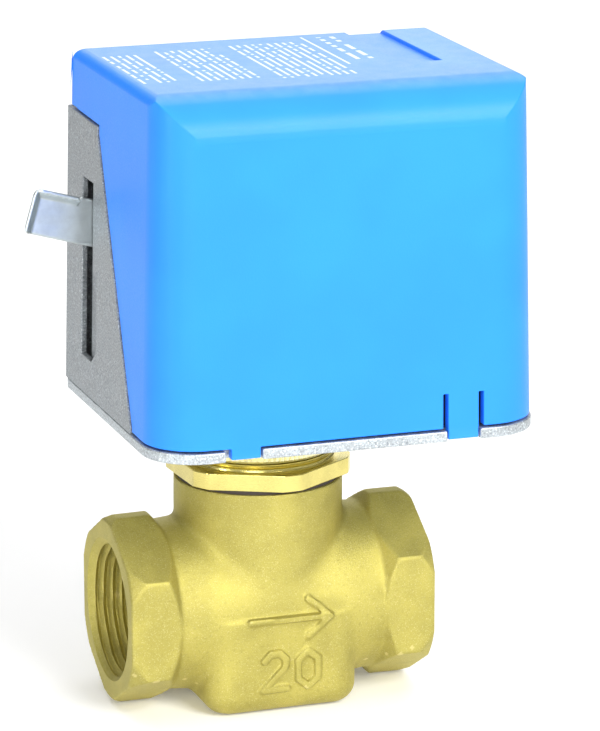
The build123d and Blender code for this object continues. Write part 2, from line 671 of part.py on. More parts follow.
with BuildPart() as quadrant_gear:
    with BuildSketch(facing_front(SECTOR_BACK, PIVOT)):
        gear_outline(SECTOR_MODULE, SECTOR_TEETH, GEAR_TWO_ANGLE)
        with BuildLine():
            Polyline(
                (0, 0), polar((0, 0), 30, 47), polar((0, 0), 30, 90), close=True)
        make_face(mode=Mode.INTERSECT)
        Circle(7.5)
        arm_outline(0, 25, ARM_WIDTH)
        Circle(TUBE_RADIUS, mode=Mode.SUBTRACT)
        with Locations(*(polar((0, 0), radius, LEVER_REST_ANGLE) for radius in (12.0, 20.0))):
            Circle(1.2, mode=Mode.SUBTRACT)
    extrude(amount=SHEET)
save(quadrant_gear, "quadrant_gear")

with BuildPart() as manual_lever:
    with BuildSketch(facing_front(ARM_BACK, PIVOT)):
        arm_outline(8.5, ARM_END_RADIUS, ARM_WIDTH)
        with Locations(*(polar((0, 0), radius, LEVER_REST_ANGLE) for radius in (12.0, 20.0))):
            Circle(1.2, mode=Mode.SUBTRACT)
    extrude(amount=SHEET)
save(manual_lever, "manual_lever")

with BuildPart() as lever_rivets:
    across(ARM_BACK + 0.7, 0.7, 2.1, RIVETS)
    across(ARM_BACK, 2 * SHEET, 1.2, RIVETS)
    across(SECTOR_BACK - SHEET, 0.7, 2.1, RIVETS)
save(lever_rivets, "lever_rivets")

with BuildPart() as pivot_tube:
    disc(14.2, 16.8, TUBE_RADIUS, PIVOT)
    disc(14.2, 16.8, PIN_RADIUS + AXLE_FIT, PIVOT, Mode.SUBTRACT)
save(pivot_tube, "pivot_tube")


def cam_point(degrees):
    """Where the flat stem head touches the cam once the lever has turned, about the pivot."""
    turned = radians(degrees)
    reach = PIVOT[1] - STEM_TOP - CAM_GAP + LIFT_PER_RADIAN * turned
    down = -pi / 2 - turned
    return (
        reach * cos(down) + LIFT_PER_RADIAN * sin(down),
        reach * sin(down) - LIFT_PER_RADIAN * cos(down))


with BuildPart() as cam_lobe:
    with BuildSketch(facing_front(4.0, PIVOT)):
        with BuildLine():
            Spline(*(cam_point(degrees) for degrees in range(-4, 31, 2)))
            Polyline(cam_point(30), (-6.2, 0.5), (0, 6.2), (6.0, 0), cam_point(-4))
        make_face()
        Circle(TUBE_RADIUS + 2.4)
        Circle(TUBE_RADIUS, mode=Mode.SUBTRACT)
    extrude(amount=6.4)
save(cam_lobe, "cam_lobe")

with BuildPart() as return_spring:
    with BuildLine():
        return_coil = Helix(
            pitch=1.0, height=3.5, radius=RETURN_COIL_RADIUS,
            center=(PIVOT[0], 10.3 + RETURN_WIRE, PIVOT[1]), direction=(0, 1, 0))
    with BuildSketch(Plane(origin=return_coil @ 0, z_dir=return_coil % 0)):
        Circle(RETURN_WIRE)
    sweep(path=return_coil)
save(return_spring, "return_spring")

# ---------------------------------------------------------------- terminal block
with BuildPart() as terminal_block:
    block((TERMINALS[0] - 5, TERMINALS[-1] + 5), (TERMINAL_Y - 5, TERMINAL_Y + 5), (PLATE_TOP, BLOCK_TOP))
    # a well for each screw and a mouth for each wire
    rod(BLOCK_TOP - 5.0, BLOCK_TOP, 2.6, Mode.SUBTRACT, [(x, TERMINAL_Y) for x in TERMINALS])
    with BuildSketch(facing_front(TERMINAL_Y + 5.0)):
        with Locations(*((x, PLATE_TOP + 4.4) for x in TERMINALS)):
            Rectangle(5.2, 4.4)
    extrude(amount=8.0, mode=Mode.SUBTRACT)
save(terminal_block, "terminal_block")

with BuildPart() as wire_clamps:
    with BuildSketch(facing_front(TERMINAL_Y + 4.0)):
        with Locations(*((x, PLATE_TOP + 4.4) for x in TERMINALS)):
            Rectangle(4.8, 4.0)
            Rectangle(3.2, 2.4, mode=Mode.SUBTRACT)
    extrude(amount=6.0)
save(wire_clamps, "wire_clamps")

with BuildPart() as terminal_screws:
    rod(BLOCK_TOP - 4.9, BLOCK_TOP - 2.8, 2.4, at=[(x, TERMINAL_Y) for x in TERMINALS])
    with BuildSketch(Plane.XY.offset(BLOCK_TOP - 2.8)):
        with Locations(*((x, TERMINAL_Y) for x in TERMINALS)):
            Rectangle(6, 0.8, rotation=30)
    extrude(amount=-0.8, mode=Mode.SUBTRACT)
save(terminal_screws, "terminal_screws")

# ---------------------------------------------------------------- cover


def cover_block(inset, bottom, top, corner, front_round, side_round):
    """Drafted block of the cover, rounded along its top edges."""
    with BuildSketch(Plane.XY.offset(bottom)) as plan:
        with Locations(((LEFT + RIGHT) / 2, (FRONT + BACK) / 2)):
            Rectangle(RIGHT - LEFT - 2 * inset, BACK - FRONT - 2 * inset)
        fillet(plan.vertices().group_by(Axis.Y)[0], corner)
        fillet(plan.vertices().group_by(Axis.Y)[-1], 1.5)
    extrude(plan.sketch, amount=top - bottom, taper=DRAFT)
    shrink = inset + (top - bottom) * LEAN
    # rounding cutters run straight along each top edge, so they meet in mitres at the corners
    front = FRONT + shrink
    with BuildSketch(Plane.YZ.offset(LEFT - 5)) as cut:
        edge_cutter(front, top, front_round, 1)
    extrude(cut.sketch, amount=RIGHT - LEFT + 10, mode=Mode.SUBTRACT)
    for x, side in ((LEFT + shrink, 1), (RIGHT - shrink, -1)):
        with BuildSketch(facing_front(BACK + 5)) as cut:
            edge_cutter(x, top, side_round, side)
        extrude(cut.sketch, amount=BACK - FRONT + 10, mode=Mode.SUBTRACT)
    with BuildSketch(Plane.YZ.offset(LEFT - 5)) as cut:
        edge_cutter(BACK - shrink, top, side_round, -1)
    extrude(cut.sketch, amount=RIGHT - LEFT + 10, mode=Mode.SUBTRACT)


def edge_cutter(across_at, top, radius, side):
    """What a rounding takes off a drafted top edge; side points from the edge to the inside."""
    lean = radians(DRAFT)
    centre = (
        across_at + side * (radius - 0.03) / cos(lean) - side * radius * tan(lean),
        top - radius + 0.01)
    start = (centre[0] - side * radius * cos(lean), centre[1] + radius * sin(lean))
    middle = (centre[0] - side * radius * cos(pi / 4), centre[1] + radius * sin(pi / 4))
    finish = (centre[0], centre[1] + radius)
    with BuildLine() as outline:
        ThreePointArc(start, middle, finish)
        Polyline(
            finish, (finish[0], top + 3), (across_at - side * 4, top + 3),
            (across_at - side * 4, start[1]), start)
    make_face(outline.edges())


with BuildPart() as cover_hollow:
    cover_block(
        COVER_INSET + COVER_WALL, COVER_BOTTOM, COVER_TOP - COVER_WALL, COVER_CORNER - COVER_WALL,
        COVER_TOP_ROUND - COVER_WALL, 1.0)

with BuildPart() as cover:
    cover_block(COVER_INSET, COVER_BOTTOM, COVER_TOP, COVER_CORNER, COVER_TOP_ROUND, COVER_SIDE_ROUND)
    add(cover_hollow.part, mode=Mode.SUBTRACT)
    # cut-outs for the bracket's wings and back
    for x, side in ((LEFT, -1), (RIGHT, 1)):
        with BuildSketch(wing_plane(x + side * 0.5, side)):
            wing_outline(side, FIT_GAP)
        extrude(amount=-(SHEET + 2.5), mode=Mode.SUBTRACT)
    block((LEFT, RIGHT), (BACK - 5, BACK + 1), (COVER_BOTTOM - 1, WING_TOP + FIT_GAP), Mode.SUBTRACT)
    # shallow recess on top, open at the back
    block(RECESS_X, (RECESS_FRONT, BACK), (COVER_TOP - RECESS_DEPTH, COVER_TOP + 1), Mode.SUBTRACT)
    # front tabs, the right one between slits so that it springs
    wall_face = FRONT + COVER_INSET
    for tab in (TAB_LEFT, TAB_RIGHT):
        block(tab, (wall_face, wall_face + COVER_WALL), (TAB_BOTTOM, COVER_BOTTOM))
    for edge in (TAB_RIGHT[0] - SLIT_WIDTH / 2 - 0.05, TAB_RIGHT[1] + SLIT_WIDTH / 2 + 0.05):
        block(
            (edge - SLIT_WIDTH / 2, edge + SLIT_WIDTH / 2), (wall_face - 1, wall_face + COVER_WALL + 1),
            (COVER_BOTTOM - 1, SLIT_TOP), Mode.SUBTRACT)
save(cover, "cover")
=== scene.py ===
"""A motorised zone valve: cast brass body, knurled ring, and a spring-return actuator under a moulded cover.

Every piece goes where the packed frame says. Working sizes are in millimetres and meshes are made in metres.
"""

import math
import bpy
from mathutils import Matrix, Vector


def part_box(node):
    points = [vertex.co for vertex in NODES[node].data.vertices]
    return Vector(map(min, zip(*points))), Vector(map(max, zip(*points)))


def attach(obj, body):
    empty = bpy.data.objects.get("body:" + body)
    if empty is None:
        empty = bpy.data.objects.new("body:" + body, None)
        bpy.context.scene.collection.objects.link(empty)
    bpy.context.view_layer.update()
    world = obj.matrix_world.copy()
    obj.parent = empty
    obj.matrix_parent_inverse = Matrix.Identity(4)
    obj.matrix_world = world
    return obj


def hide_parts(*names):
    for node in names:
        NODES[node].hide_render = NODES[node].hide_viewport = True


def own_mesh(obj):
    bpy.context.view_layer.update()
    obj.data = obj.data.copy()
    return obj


bl_info = {
    "name": "Zone Valve",
    "version": (1, 0, 0),
    "blender": (4, 5, 0),
    "location": "3D View > Sidebar > Zone Valve",
    "description": "Builds a motorised zone valve round its packed frame, piece by piece",
    "category": "Add Mesh",
}

import bmesh
import bpy
import numpy as np
from bpy.props import FloatProperty, FloatVectorProperty, IntProperty, PointerProperty
from bpy.types import Operator, Panel, PropertyGroup
from mathutils import Vector

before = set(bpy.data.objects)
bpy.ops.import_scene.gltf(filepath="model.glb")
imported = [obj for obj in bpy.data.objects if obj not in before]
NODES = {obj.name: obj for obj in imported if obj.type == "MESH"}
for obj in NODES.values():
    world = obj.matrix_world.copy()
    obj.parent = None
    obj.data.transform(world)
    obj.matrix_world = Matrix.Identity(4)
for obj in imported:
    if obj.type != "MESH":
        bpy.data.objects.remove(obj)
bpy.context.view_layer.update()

MM = 0.001
TAU = 2 * math.pi


def node_box(node):
    """Lowest and highest corner of a CAD node, in millimetres."""
    low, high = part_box(node)
    return low / MM, high / MM


BODY_HIGH = node_box("valve_body")[1]
RING_HIGH = node_box("ring_nut")[1]
COVER_HIGH = node_box("cover")[1]

FLOW_Z = 18.5                          # height of the flow axis
PIVOT = Vector((8.25, 0.0, 80.5))      # lever's pivot, seen from the front
LEVER_ANGLE = math.radians(164.0)      # direction of the lever's arm at rest


# ------------------------------------------------------------------ sizes and colours
def length(name, description, default, low=0.0, high=200.0):
    return FloatProperty(name=name, description=description, default=default, min=low, max=high)


def colour(name, description, default):
    return FloatVectorProperty(
        name=name, description=description, default=default, size=3, min=0.0, max=1.0, subtype="COLOR")


class ValveSizes(PropertyGroup):
    """Sizes of the cast body and its threads, in millimetres."""
    grid: length("Casting grid", "Spacing of the casting's mesh, in millimetres", 0.38, 0.25, 2.0)
    hex_flats: length("Hexagon flats", "Across the flats of each port's hexagon", 33.0)
    hex_cut: length("Hexagon corner cut", "Distance of the flattened corners from the flow axis", 18.2)
    neck_radius: length("Neck radius", "Radius of the neck under the bonnet", 16.0)
    barrel_radius: length("Barrel radius", "Radius of the barrel at the middle", 16.7)
    barrel_waist: length("Barrel waist", "Radius of the barrel beside each hexagon", 16.15)
    neck_blend: length("Neck blend", "Size of the fillet between neck and barrel", 1.3, 0.1)
    belly_blend: length("Belly blend", "Size of the fillet between belly and barrel", 1.2, 0.1)
    mark_height: length("Cast mark height", "How far the cast mark stands proud", 0.55)
    thread_pitch: length("Thread pitch", "Pitch of the pipe thread in the ports", 1.814, 0.5)
    thread_crest: length("Thread crest", "Radius of the thread's crests", 12.15)
    thread_root: length("Thread root", "Radius of the thread's roots", 13.2)


class ActuatorSizes(PropertyGroup):
    """Sizes of the ring, the sheet parts and the lever, in millimetres."""
    teeth: IntProperty(name="Knurl teeth", description="Number of teeth round the ring", default=96, min=12)
    tooth_depth: length("Tooth depth", "How far a knurl tooth stands out", 0.5)
    edge: length("Sheet edge", "Rounding of the sheet parts' edges", 0.3)
    fine_edge: length("Fine edge", "Rounding of turned and moulded edges", 0.18)
    lip: length("Lever lip", "How far the lever's rim is bent outwards", 1.9)


class ValveColours(PropertyGroup):
    """Colours of the main finishes."""
    cast_brass: colour("Cast brass", "Shot-blasted brass casting", (0.47, 0.41, 0.10))
    turned_brass: colour("Turned brass", "Machined brass", (0.72, 0.62, 0.20))
    cover: colour("Cover", "Moulded cover", (0.022, 0.240, 0.97))
    print_white: colour("Print", "Printed bars on the cover", (0.86, 0.93, 1.0))
    # Kept dark as painted shade for the bracket, which the left lamp lights strongly; the base plate takes it
    # 1.5 times lighter.
    sheet: colour("Galvanised sheet", "Bracket and plates", (0.31, 0.335, 0.35))
    lever: colour("Lever", "Zinc-plated lever", (0.66, 0.72, 0.74))


class StageSettings(PropertyGroup):
    """Camera, floor and light."""
    azimuth: FloatProperty(
        name="Azimuth", description="Camera's bearing round the stem", default=math.radians(-18.88),
        subtype="ANGLE")
    elevation: FloatProperty(
        name="Elevation", description="Camera's height above the horizon", default=math.radians(14.99),
        subtype="ANGLE")
    distance: FloatProperty(name="Distance", description="Camera to target", default=0.787, unit="LENGTH")
    target: FloatVectorProperty(
        name="Target", description="Point the camera looks at", default=(0.0112, 0.0081, 0.0605),
        size=3, subtype="TRANSLATION")
    lens: FloatProperty(name="Lens", description="Focal length in millimetres", default=202.8, min=10)
    floor: colour("Floor", "Plain pale floor", (0.93, 0.93, 0.93))
    ambient: FloatProperty(name="Ambient", description="Strength of the even light", default=0.16, min=0)


# ------------------------------------------------------------------ node graphs
class Term:
    """A node's output socket that takes part in Python arithmetic."""

    def __init__(self, graph, socket):
        self.graph, self.socket = graph, socket

    def __add__(self, other):
        return self.graph.math("ADD", self, other)

    def __radd__(self, other):
        return self.graph.math("ADD", other, self)

    def __sub__(self, other):
        return self.graph.math("SUBTRACT", self, other)

    def __rsub__(self, other):
        return self.graph.math("SUBTRACT", other, self)

    def __mul__(self, other):
        return self.graph.math("MULTIPLY", self, other)

    def __rmul__(self, other):
        return self.graph.math("MULTIPLY", other, self)

    def __truediv__(self, other):
        return self.graph.math("DIVIDE", self, other)

    def __gt__(self, other):
        return self.graph.math("GREATER_THAN", self, other)

    def __lt__(self, other):
        return self.graph.math("LESS_THAN", self, other)


class Graph:
    """Adds nodes to a shader tree or a geometry tree."""

    def __init__(self, tree):
        self.tree = tree

    def node(self, kind, settings=None, values=None, out=0):
        made = self.tree.nodes.new(kind)
        for key, value in (settings or {}).items():
            setattr(made, key, value)
        for key, value in (values or {}).items():
            if isinstance(value, Term):
                self.tree.links.new(value.socket, made.inputs[key])
            else:
                made.inputs[key].default_value = value
        return Term(self, made.outputs[out])

    def math(self, operation, *terms):
        return self.node("ShaderNodeMath", {"operation": operation}, dict(enumerate(terms)))

    def split(self, vector):
        made = self.node("ShaderNodeSeparateXYZ", values={0: vector}).socket.node
        return [Term(self, made.outputs[axis]) for axis in range(3)]

    def join(self, x=0.0, y=0.0, z=0.0):
        return self.node("ShaderNodeCombineXYZ", values={0: x, 1: y, 2: z})

    def ramp(self, term, low, high, start=0.0, end=1.0):
        return self.node("ShaderNodeMapRange", {"interpolation_type": "SMOOTHSTEP"},
                         {"Value": term, "From Min": low, "From Max": high, "To Min": start, "To Max": end})

    def tint(self, factor, first, second):
        """A colour between two others."""
        return self.node("ShaderNodeMix", {"data_type": "RGBA", "blend_type": "MIX"},
                         {0: factor, 6: rgba(first), 7: rgba(second)}, out=2)


def rgba(value):
    return value if isinstance(value, Term) else (*value[:3], 1.0)


def shaded(value, factor):
    return tuple(min(1.0, part * factor) for part in value)


class Finish(Graph):
    """A material under construction, with the noises and bumps that the finishes share."""

    def __init__(self, name, metallic=0.0):
        self.material = bpy.data.materials.new(name)
        self.material.use_nodes = True
        super().__init__(self.material.node_tree)
        self.shader = self.tree.nodes["Principled BSDF"]
        self.shader.inputs["Metallic"].default_value = metallic
        self.place = self.node("ShaderNodeTexCoord", out="Object")
        self.x, self.y, self.z = self.split(self.place)
        self.bumped = None

    def noise(self, size, detail=3.0, rough=0.55, place=None):
        """Noise whose features are about size millimetres across."""
        return self.node("ShaderNodeTexNoise", None, {
            "Vector": place or self.place, "Scale": 1 / (size * MM), "Detail": detail, "Roughness": rough})

    def lines(self, size, axis):
        """Fine lines across an axis, as rolling and turning leave them."""
        stretch = [0.03, 0.03, 0.03]
        stretch[axis] = 1.0
        place = self.node("ShaderNodeMapping", None, {"Vector": self.place, "Scale": stretch})
        return self.noise(size, 2.0, 0.6, place)

    def turning(self, size):
        """Fine rings about the stem."""
        radius = self.math("SQRT", self.x * self.x + self.y * self.y)
        return self.noise(size, 2.0, 0.6, self.join(radius, self.z))

    def bump(self, height, depth):
        """Adds relief, depth millimetres deep, over what is there already."""
        values = {"Strength": 1.0, "Distance": depth * MM, "Height": height}
        if self.bumped:
            values["Normal"] = self.bumped
        self.bumped = self.node("ShaderNodeBump", None, values)

    def wear(self, low=0.53, high=0.62):
        """Greater along edges that hands and tools have rubbed."""
        edge = self.node("ShaderNodeNewGeometry", out="Pointiness")
        return self.ramp(edge, low, high)

    def set(self, **sockets):
        for key, value in sockets.items():
            socket = self.shader.inputs[key.replace("_", " ")]
            if isinstance(value, Term):
                self.tree.links.new(value.socket, socket)
            else:
                socket.default_value = value

    def done(self):
        if self.bumped:
            self.tree.links.new(self.bumped.socket, self.shader.inputs["Normal"])
        return self.material


# ------------------------------------------------------------------ finishes
def cast_brass(tint):
    """Shot-blasted casting: fine grain, soft mottling and rubbed edges."""
    f = Finish("cast_brass", metallic=0.8)
    grain = f.noise(0.2, 4.0, 0.65)
    pits = f.noise(0.5, 3.0, 0.6)
    cloud = f.noise(9.0, 3.0, 0.55)
    base = f.tint(f.ramp(cloud, 0.35, 0.68), shaded(tint, 0.88), shaded(tint, 1.05))
    # Pale specks where the grain stands high: painted glints that whiten the lit brass.
    base = f.tint(f.ramp(grain, 0.53, 0.68) * 0.4, base, (0.90, 0.85, 0.48))
    base = f.tint(f.ramp(pits, 0.45, 0.32) * 0.28, base, shaded(tint, 0.55))
    base = f.tint(f.wear() * 0.4, base, (0.88, 0.78, 0.36))
    f.bump(pits, 0.05)
    f.bump(grain, 0.10)
    f.set(Base_Color=base, Roughness=f.ramp(grain, 0.3, 0.7, 0.46, 0.62) - f.wear() * 0.12)
    return f.done()


def turned_brass(tint, name="turned_brass", roughness=0.24):
    """Machined brass with tool marks that run round the stem."""
    f = Finish(name, metallic=1.0)
    marks = f.turning(0.12)
    cloud = f.noise(5.0)
    base = f.tint(f.ramp(cloud, 0.3, 0.7), shaded(tint, 0.88), tint)
    base = f.tint(f.ramp(marks, 0.55, 0.75) * 0.25, base, shaded(tint, 1.25))
    f.bump(marks, 0.012)
    f.set(Base_Color=base, Roughness=f.ramp(marks, 0.3, 0.7, roughness - 0.05, roughness + 0.08))
    return f.done()


def bored_brass(tint):
    """Machined brass with tool marks that run round the flow."""
    f = Finish("bored_brass", metallic=1.0)
    # A darker copy of the turned brass: painted shade for the ports' dim insides, which the mouths and the
    # machined top share.
    tint = shaded(tint, 0.72)
    rise = f.z - FLOW_Z * MM
    radius = f.math("SQRT", f.y * f.y + rise * rise)
    marks = f.noise(0.14, 2.0, 0.6, f.join(radius, f.x))
    base = f.tint(f.ramp(f.noise(4.0), 0.3, 0.7), shaded(tint, 0.84), tint)
    f.bump(marks, 0.014)
    f.set(Base_Color=base, Roughness=f.ramp(marks, 0.3, 0.7, 0.2, 0.36))
    return f.done()


def milled_brass(tint):
    """Milled flats of the bonnet."""
    f = Finish("milled_brass", metallic=1.0)
    marks = f.lines(0.10, 2)
    scuff = f.noise(1.8, 4.0, 0.7)
    base = f.tint(f.ramp(scuff, 0.35, 0.7), shaded(tint, 0.80), shaded(tint, 1.04))
    f.bump(marks, 0.010)
    f.bump(scuff, 0.02)
    f.set(Base_Color=base, Roughness=f.ramp(marks, 0.3, 0.7, 0.24, 0.40))
    return f.done()


def moulded_cover(tint, white):
    """Fine-textured moulding with plain printed bars and a long rule on its top."""
    f = Finish("moulded_cover")
    texture = f.noise(0.28, 3.0, 0.6)
    waviness = f.noise(16.0, 2.0, 0.5)
    base = f.tint(f.ramp(f.noise(22.0, 2.0), 0.3, 0.7), shaded(tint, 0.95), shaded(tint, 1.03))
    base = f.tint(f.ramp(texture, 0.6, 0.75) * 0.10, base, shaded(tint, 1.4))
    base = f.tint(f.wear(0.54, 0.66) * 0.25, base, (0.16, 0.45, 1.0))
    # Upward faces turn paler and greyer, mottled by noise: partly settled dust, mostly painted sheen for the
    # light on the cover's top.
    upward = f.split(f.node("ShaderNodeTexCoord", out="Normal"))[2]
    painted_sheen_and_dust = f.ramp(upward, 0.80, 1.0) * f.ramp(f.noise(3.0, 4.0, 0.6), 0.2, 0.8, 0.10, 0.18)
    base = f.tint(painted_sheen_and_dust, base, (0.66, 0.74, 0.82))
    base = f.tint(printed_bars(f), base, white)
    f.bump(waviness, 0.10)
    f.bump(texture, 0.018)
    f.set(Base_Color=base, Roughness=f.ramp(texture, 0.3, 0.7, 0.34, 0.44), Specular_IOR_Level=0.2)
    return f.done()


def between(term, low, high):
    return (term > low) * (term < high)


def printed_bars(f):
    """Mask of the print: blocks of broken bars that run from front to back, and a rule."""
    x, y = f.x / MM, f.y / MM
    mask = between(x, *PRINT_RULE[0]) * between(y, *PRINT_RULE[1])
    for left, right, front, back, pitch, word, seed in PRINT_BLOCKS:
        row, column = (x - left) / pitch, (y - front) / word
        cell = f.join(f.math("FLOOR", column), f.math("FLOOR", row), seed)
        chance = f.node("ShaderNodeTexWhiteNoise", {"noise_dimensions": "3D"}, {"Vector": cell})
        bar = between(f.math("FRACT", row), 0.34, 0.70) * (chance > 0.22)
        mask = mask + bar * between(x, left, right) * between(y, front, back)
    return mask * (f.z > (COVER_HIGH.z - 0.4) * MM) * 0.7


PRINT_RULE = ((13.4, 13.9), (-13.0, 15.0))      # X and Y of the long rule
PRINT_BLOCKS = (            # left, right, front, back, row pitch, bar length, seed
    (-28.0, -20.5, -19.0, 8.0, 1.5, 1.1, 1.0),
    (-17.4, -5.4, -20.0, 10.0, 1.5, 1.1, 2.0),
    (-2.6, 12.0, -22.0, 11.0, 1.5, 1.1, 3.0),
    (15.4, 20.6, -9.0, 14.0, 2.6, 1.6, 4.0),
)


def galvanised_sheet(tint, name="galvanised_sheet", painted_lightness=1.0):
    """Rolled sheet with fine spangle and small dark specks."""
    f = Finish(name, metallic=0.82)
    spangle = f.node("ShaderNodeTexVoronoi", None, {"Vector": f.place, "Scale": 1 / (1.3 * MM)}, out="Color")
    cell = f.split(spangle)[0]
    speck = f.noise(0.34, 3.0, 0.7)
    stain = f.noise(7.0, 4.0, 0.6)
    # Scales the tint: the base plate's copy of this sheet is painted 1.5 times lighter than the bracket's, as
    # painted light.
    tint = shaded(tint, painted_lightness)
    base = f.tint(f.ramp(cell, 0.0, 1.0), shaded(tint, 0.84), shaded(tint, 1.08))
    base = f.tint(f.ramp(speck, 0.54, 0.66) * 0.75, base, shaded(tint, 2.0))
    base = f.tint(f.ramp(speck, 0.46, 0.34) * 0.65, base, shaded(tint, 0.35))
    base = f.tint(f.ramp(stain, 0.55, 0.8) * 0.25, base, shaded(tint, 0.7))
    f.bump(speck, 0.07)
    f.set(Base_Color=base, Roughness=f.ramp(cell, 0.0, 1.0, 0.36, 0.54))
    return f.done()


def cut_edge(tint):
    """Bright sheared edge of the sheet."""
    f = Finish("cut_edge", metallic=0.9)
    torn = f.noise(0.25, 4.0, 0.7)
    base = f.tint(f.ramp(torn, 0.4, 0.7), shaded(tint, 0.9), (0.93, 0.94, 0.95))
    f.bump(torn, 0.06)
    f.set(Base_Color=base, Roughness=f.ramp(torn, 0.3, 0.7, 0.3, 0.5))
    return f.done()


def plated(name, tint, roughness=0.32, axis=0, size=0.15):
    """Plated or ground steel with faint lines and small stains."""
    f = Finish(name, metallic=0.95)
    lines = f.lines(size, axis)
    stain = f.noise(3.5, 4.0, 0.6)
    base = f.tint(f.ramp(stain, 0.35, 0.75), tint, shaded(tint, 0.84))
    base = f.tint(f.wear() * 0.5, base, shaded(tint, 1.3))
    f.bump(lines, 0.010)
    f.bump(f.noise(0.5), 0.012)
    f.set(Base_Color=base, Roughness=f.ramp(lines, 0.3, 0.7, roughness - 0.06, roughness + 0.12))
    return f.done()


def moulded(name, tint, roughness=0.5, texture=0.25, depth=0.03):
    """Moulded plastic, rubber or pressed fibre."""
    f = Finish(name)
    fine = f.noise(texture, 3.0, 0.6)
    base = f.tint(f.ramp(f.noise(6.0), 0.3, 0.7), shaded(tint, 0.86), shaded(tint, 1.08))
    base = f.tint(f.wear() * 0.3, base, shaded(tint, 1.6))
    f.bump(fine, depth)
    f.set(Base_Color=base, Roughness=f.ramp(fine, 0.3, 0.7, roughness - 0.08, roughness + 0.1))
    return f.done()


def wound_copper(tint):
    """Enamelled winding wire, side by side."""
    f = Finish("wound_copper", metallic=0.8)
    turns = f.node("ShaderNodeTexWave", {"bands_direction": "Y"},
                   {"Vector": f.place, "Scale": 1 / (6.3 * 0.35 * MM), "Distortion": 0.4}, out="Fac")
    # Dark bands between the turns: painted shade in the grooves between the wires.
    base = f.tint(f.ramp(turns, 0.0, 1.0), shaded(tint, 0.35), tint)
    f.bump(turns, 0.12)
    f.set(Base_Color=base, Roughness=f.ramp(f.noise(0.6), 0.3, 0.7, 0.25, 0.42))
    return f.done()


MADE = {}


def finishes():
    """The finishes, made once, under the record's slot names."""
    if not MADE:
        tints = bpy.context.scene.valve_colours
        MADE.update(
            brass_cast=cast_brass(tints.cast_brass),
            brass_turned=turned_brass(tints.turned_brass),
            brass_bored=bored_brass(tints.turned_brass),
            brass_knurled=turned_brass((0.98, 0.92, 0.56), "knurled_brass", roughness=0.46),
            brass_milled=milled_brass(tints.turned_brass),
            # The gasket's fibre is painted near black: painted shade for the dark gap under the bonnet.
            fibre=moulded("pressed_fibre", (0.045, 0.035, 0.028), 0.8, 0.18, 0.06),
            rubber=moulded("moulded_rubber", (0.035, 0.035, 0.04), 0.62, 0.2, 0.03),
            polymer_white=moulded("acetal", (0.80, 0.79, 0.73), 0.38, 0.5, 0.01),
            polymer_black=moulded("black_plastic", (0.03, 0.03, 0.033), 0.45, 0.22, 0.03),
            spring_steel=plated("drawn_wire", (0.46, 0.47, 0.49), 0.30, 1, 0.08),
            steel_bright=plated("ground_steel", (0.68, 0.69, 0.71), 0.22, 1, 0.10),
            zinc_plated=plated("zinc_plate", tints.lever, 0.36, 2, 0.25),
            galvanised=galvanised_sheet(tints.sheet),
            cut_edge=cut_edge((0.72, 0.73, 0.74)),
            # The base plate's sheet is the bracket's sheet painted 1.5 times lighter: lit and shaded copies
            # of one galvanised sheet.
            plate_edge=galvanised_sheet(tints.sheet, "plate_sheet", 1.5),
            copper_coil=wound_copper((0.62, 0.26, 0.10)),
            ferrite=moulded("pressed_ferrite", (0.07, 0.07, 0.08), 0.6, 0.3, 0.05),
            cover_blue=moulded_cover(tints.cover, tints.print_white),
        )
    return MADE


# ------------------------------------------------------------------ meshes
def place_mesh(name, mesh, body, materials, replaced=()):
    """Links a finished mesh as a piece that rides on a body and stands for CAD nodes."""
    piece = bpy.data.objects.new(name, mesh)
    bpy.context.scene.collection.objects.link(piece)
    mesh.materials.clear()
    for key in materials:
        mesh.materials.append(finishes()[key])
    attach(piece, body)
    if replaced:
        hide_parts(*replaced)
    return piece


def smooth(mesh, angle=32.0):
    mesh.shade_smooth()
    mesh.set_sharp_from_angle(angle=math.radians(angle))


def mesh_from(name, points, faces):
    """A mesh from points in millimetres."""
    mesh = bpy.data.meshes.new(name)
    mesh.from_pydata((np.asarray(points, float) * MM).tolist(), [], faces)
    mesh.validate()
    return mesh


def face_outwards(mesh):
    made = bmesh.new()
    made.from_mesh(mesh)
    bmesh.ops.remove_doubles(made, verts=made.verts, dist=1e-7)
    bmesh.ops.recalc_face_normals(made, faces=made.faces)
    made.to_mesh(mesh)
    made.free()
    return mesh


def temporary(mesh):
    """An object that only serves to make another one."""
    made = bpy.data.objects.new("working", mesh)
    bpy.context.scene.collection.objects.link(made)
    return made


def settled(worker, name):
    """The plain mesh that an object's modifiers give; the working object goes."""
    graph = bpy.context.evaluated_depsgraph_get()
    mesh = bpy.data.meshes.new_from_object(worker.evaluated_get(graph))
    mesh.name = name
    bpy.data.objects.remove(worker)
    return mesh


def carve(mesh, cutters):
    """Cuts a closed mesh with others, one after another."""
    for cutter in cutters:
        worker, tool = temporary(mesh), temporary(cutter)
        cut = worker.modifiers.new("cut", "BOOLEAN")
        cut.operation, cut.solver, cut.object = "DIFFERENCE", "MANIFOLD", tool
        mesh = settled(worker, mesh.name)
        bpy.data.objects.remove(tool)
    return mesh


def box_mesh(low, high):
    corners = [(x, y, z) for x in (low[0], high[0]) for y in (low[1], high[1]) for z in (low[2], high[2])]
    faces = [(0, 1, 3, 2), (4, 6, 7, 5), (0, 4, 5, 1), (2, 3, 7, 6), (0, 2, 6, 4), (1, 5, 7, 3)]
    return face_outwards(mesh_from("box", corners, faces))


AXIS_RADIUS = 0.01            # stands for the axis in a turned profile


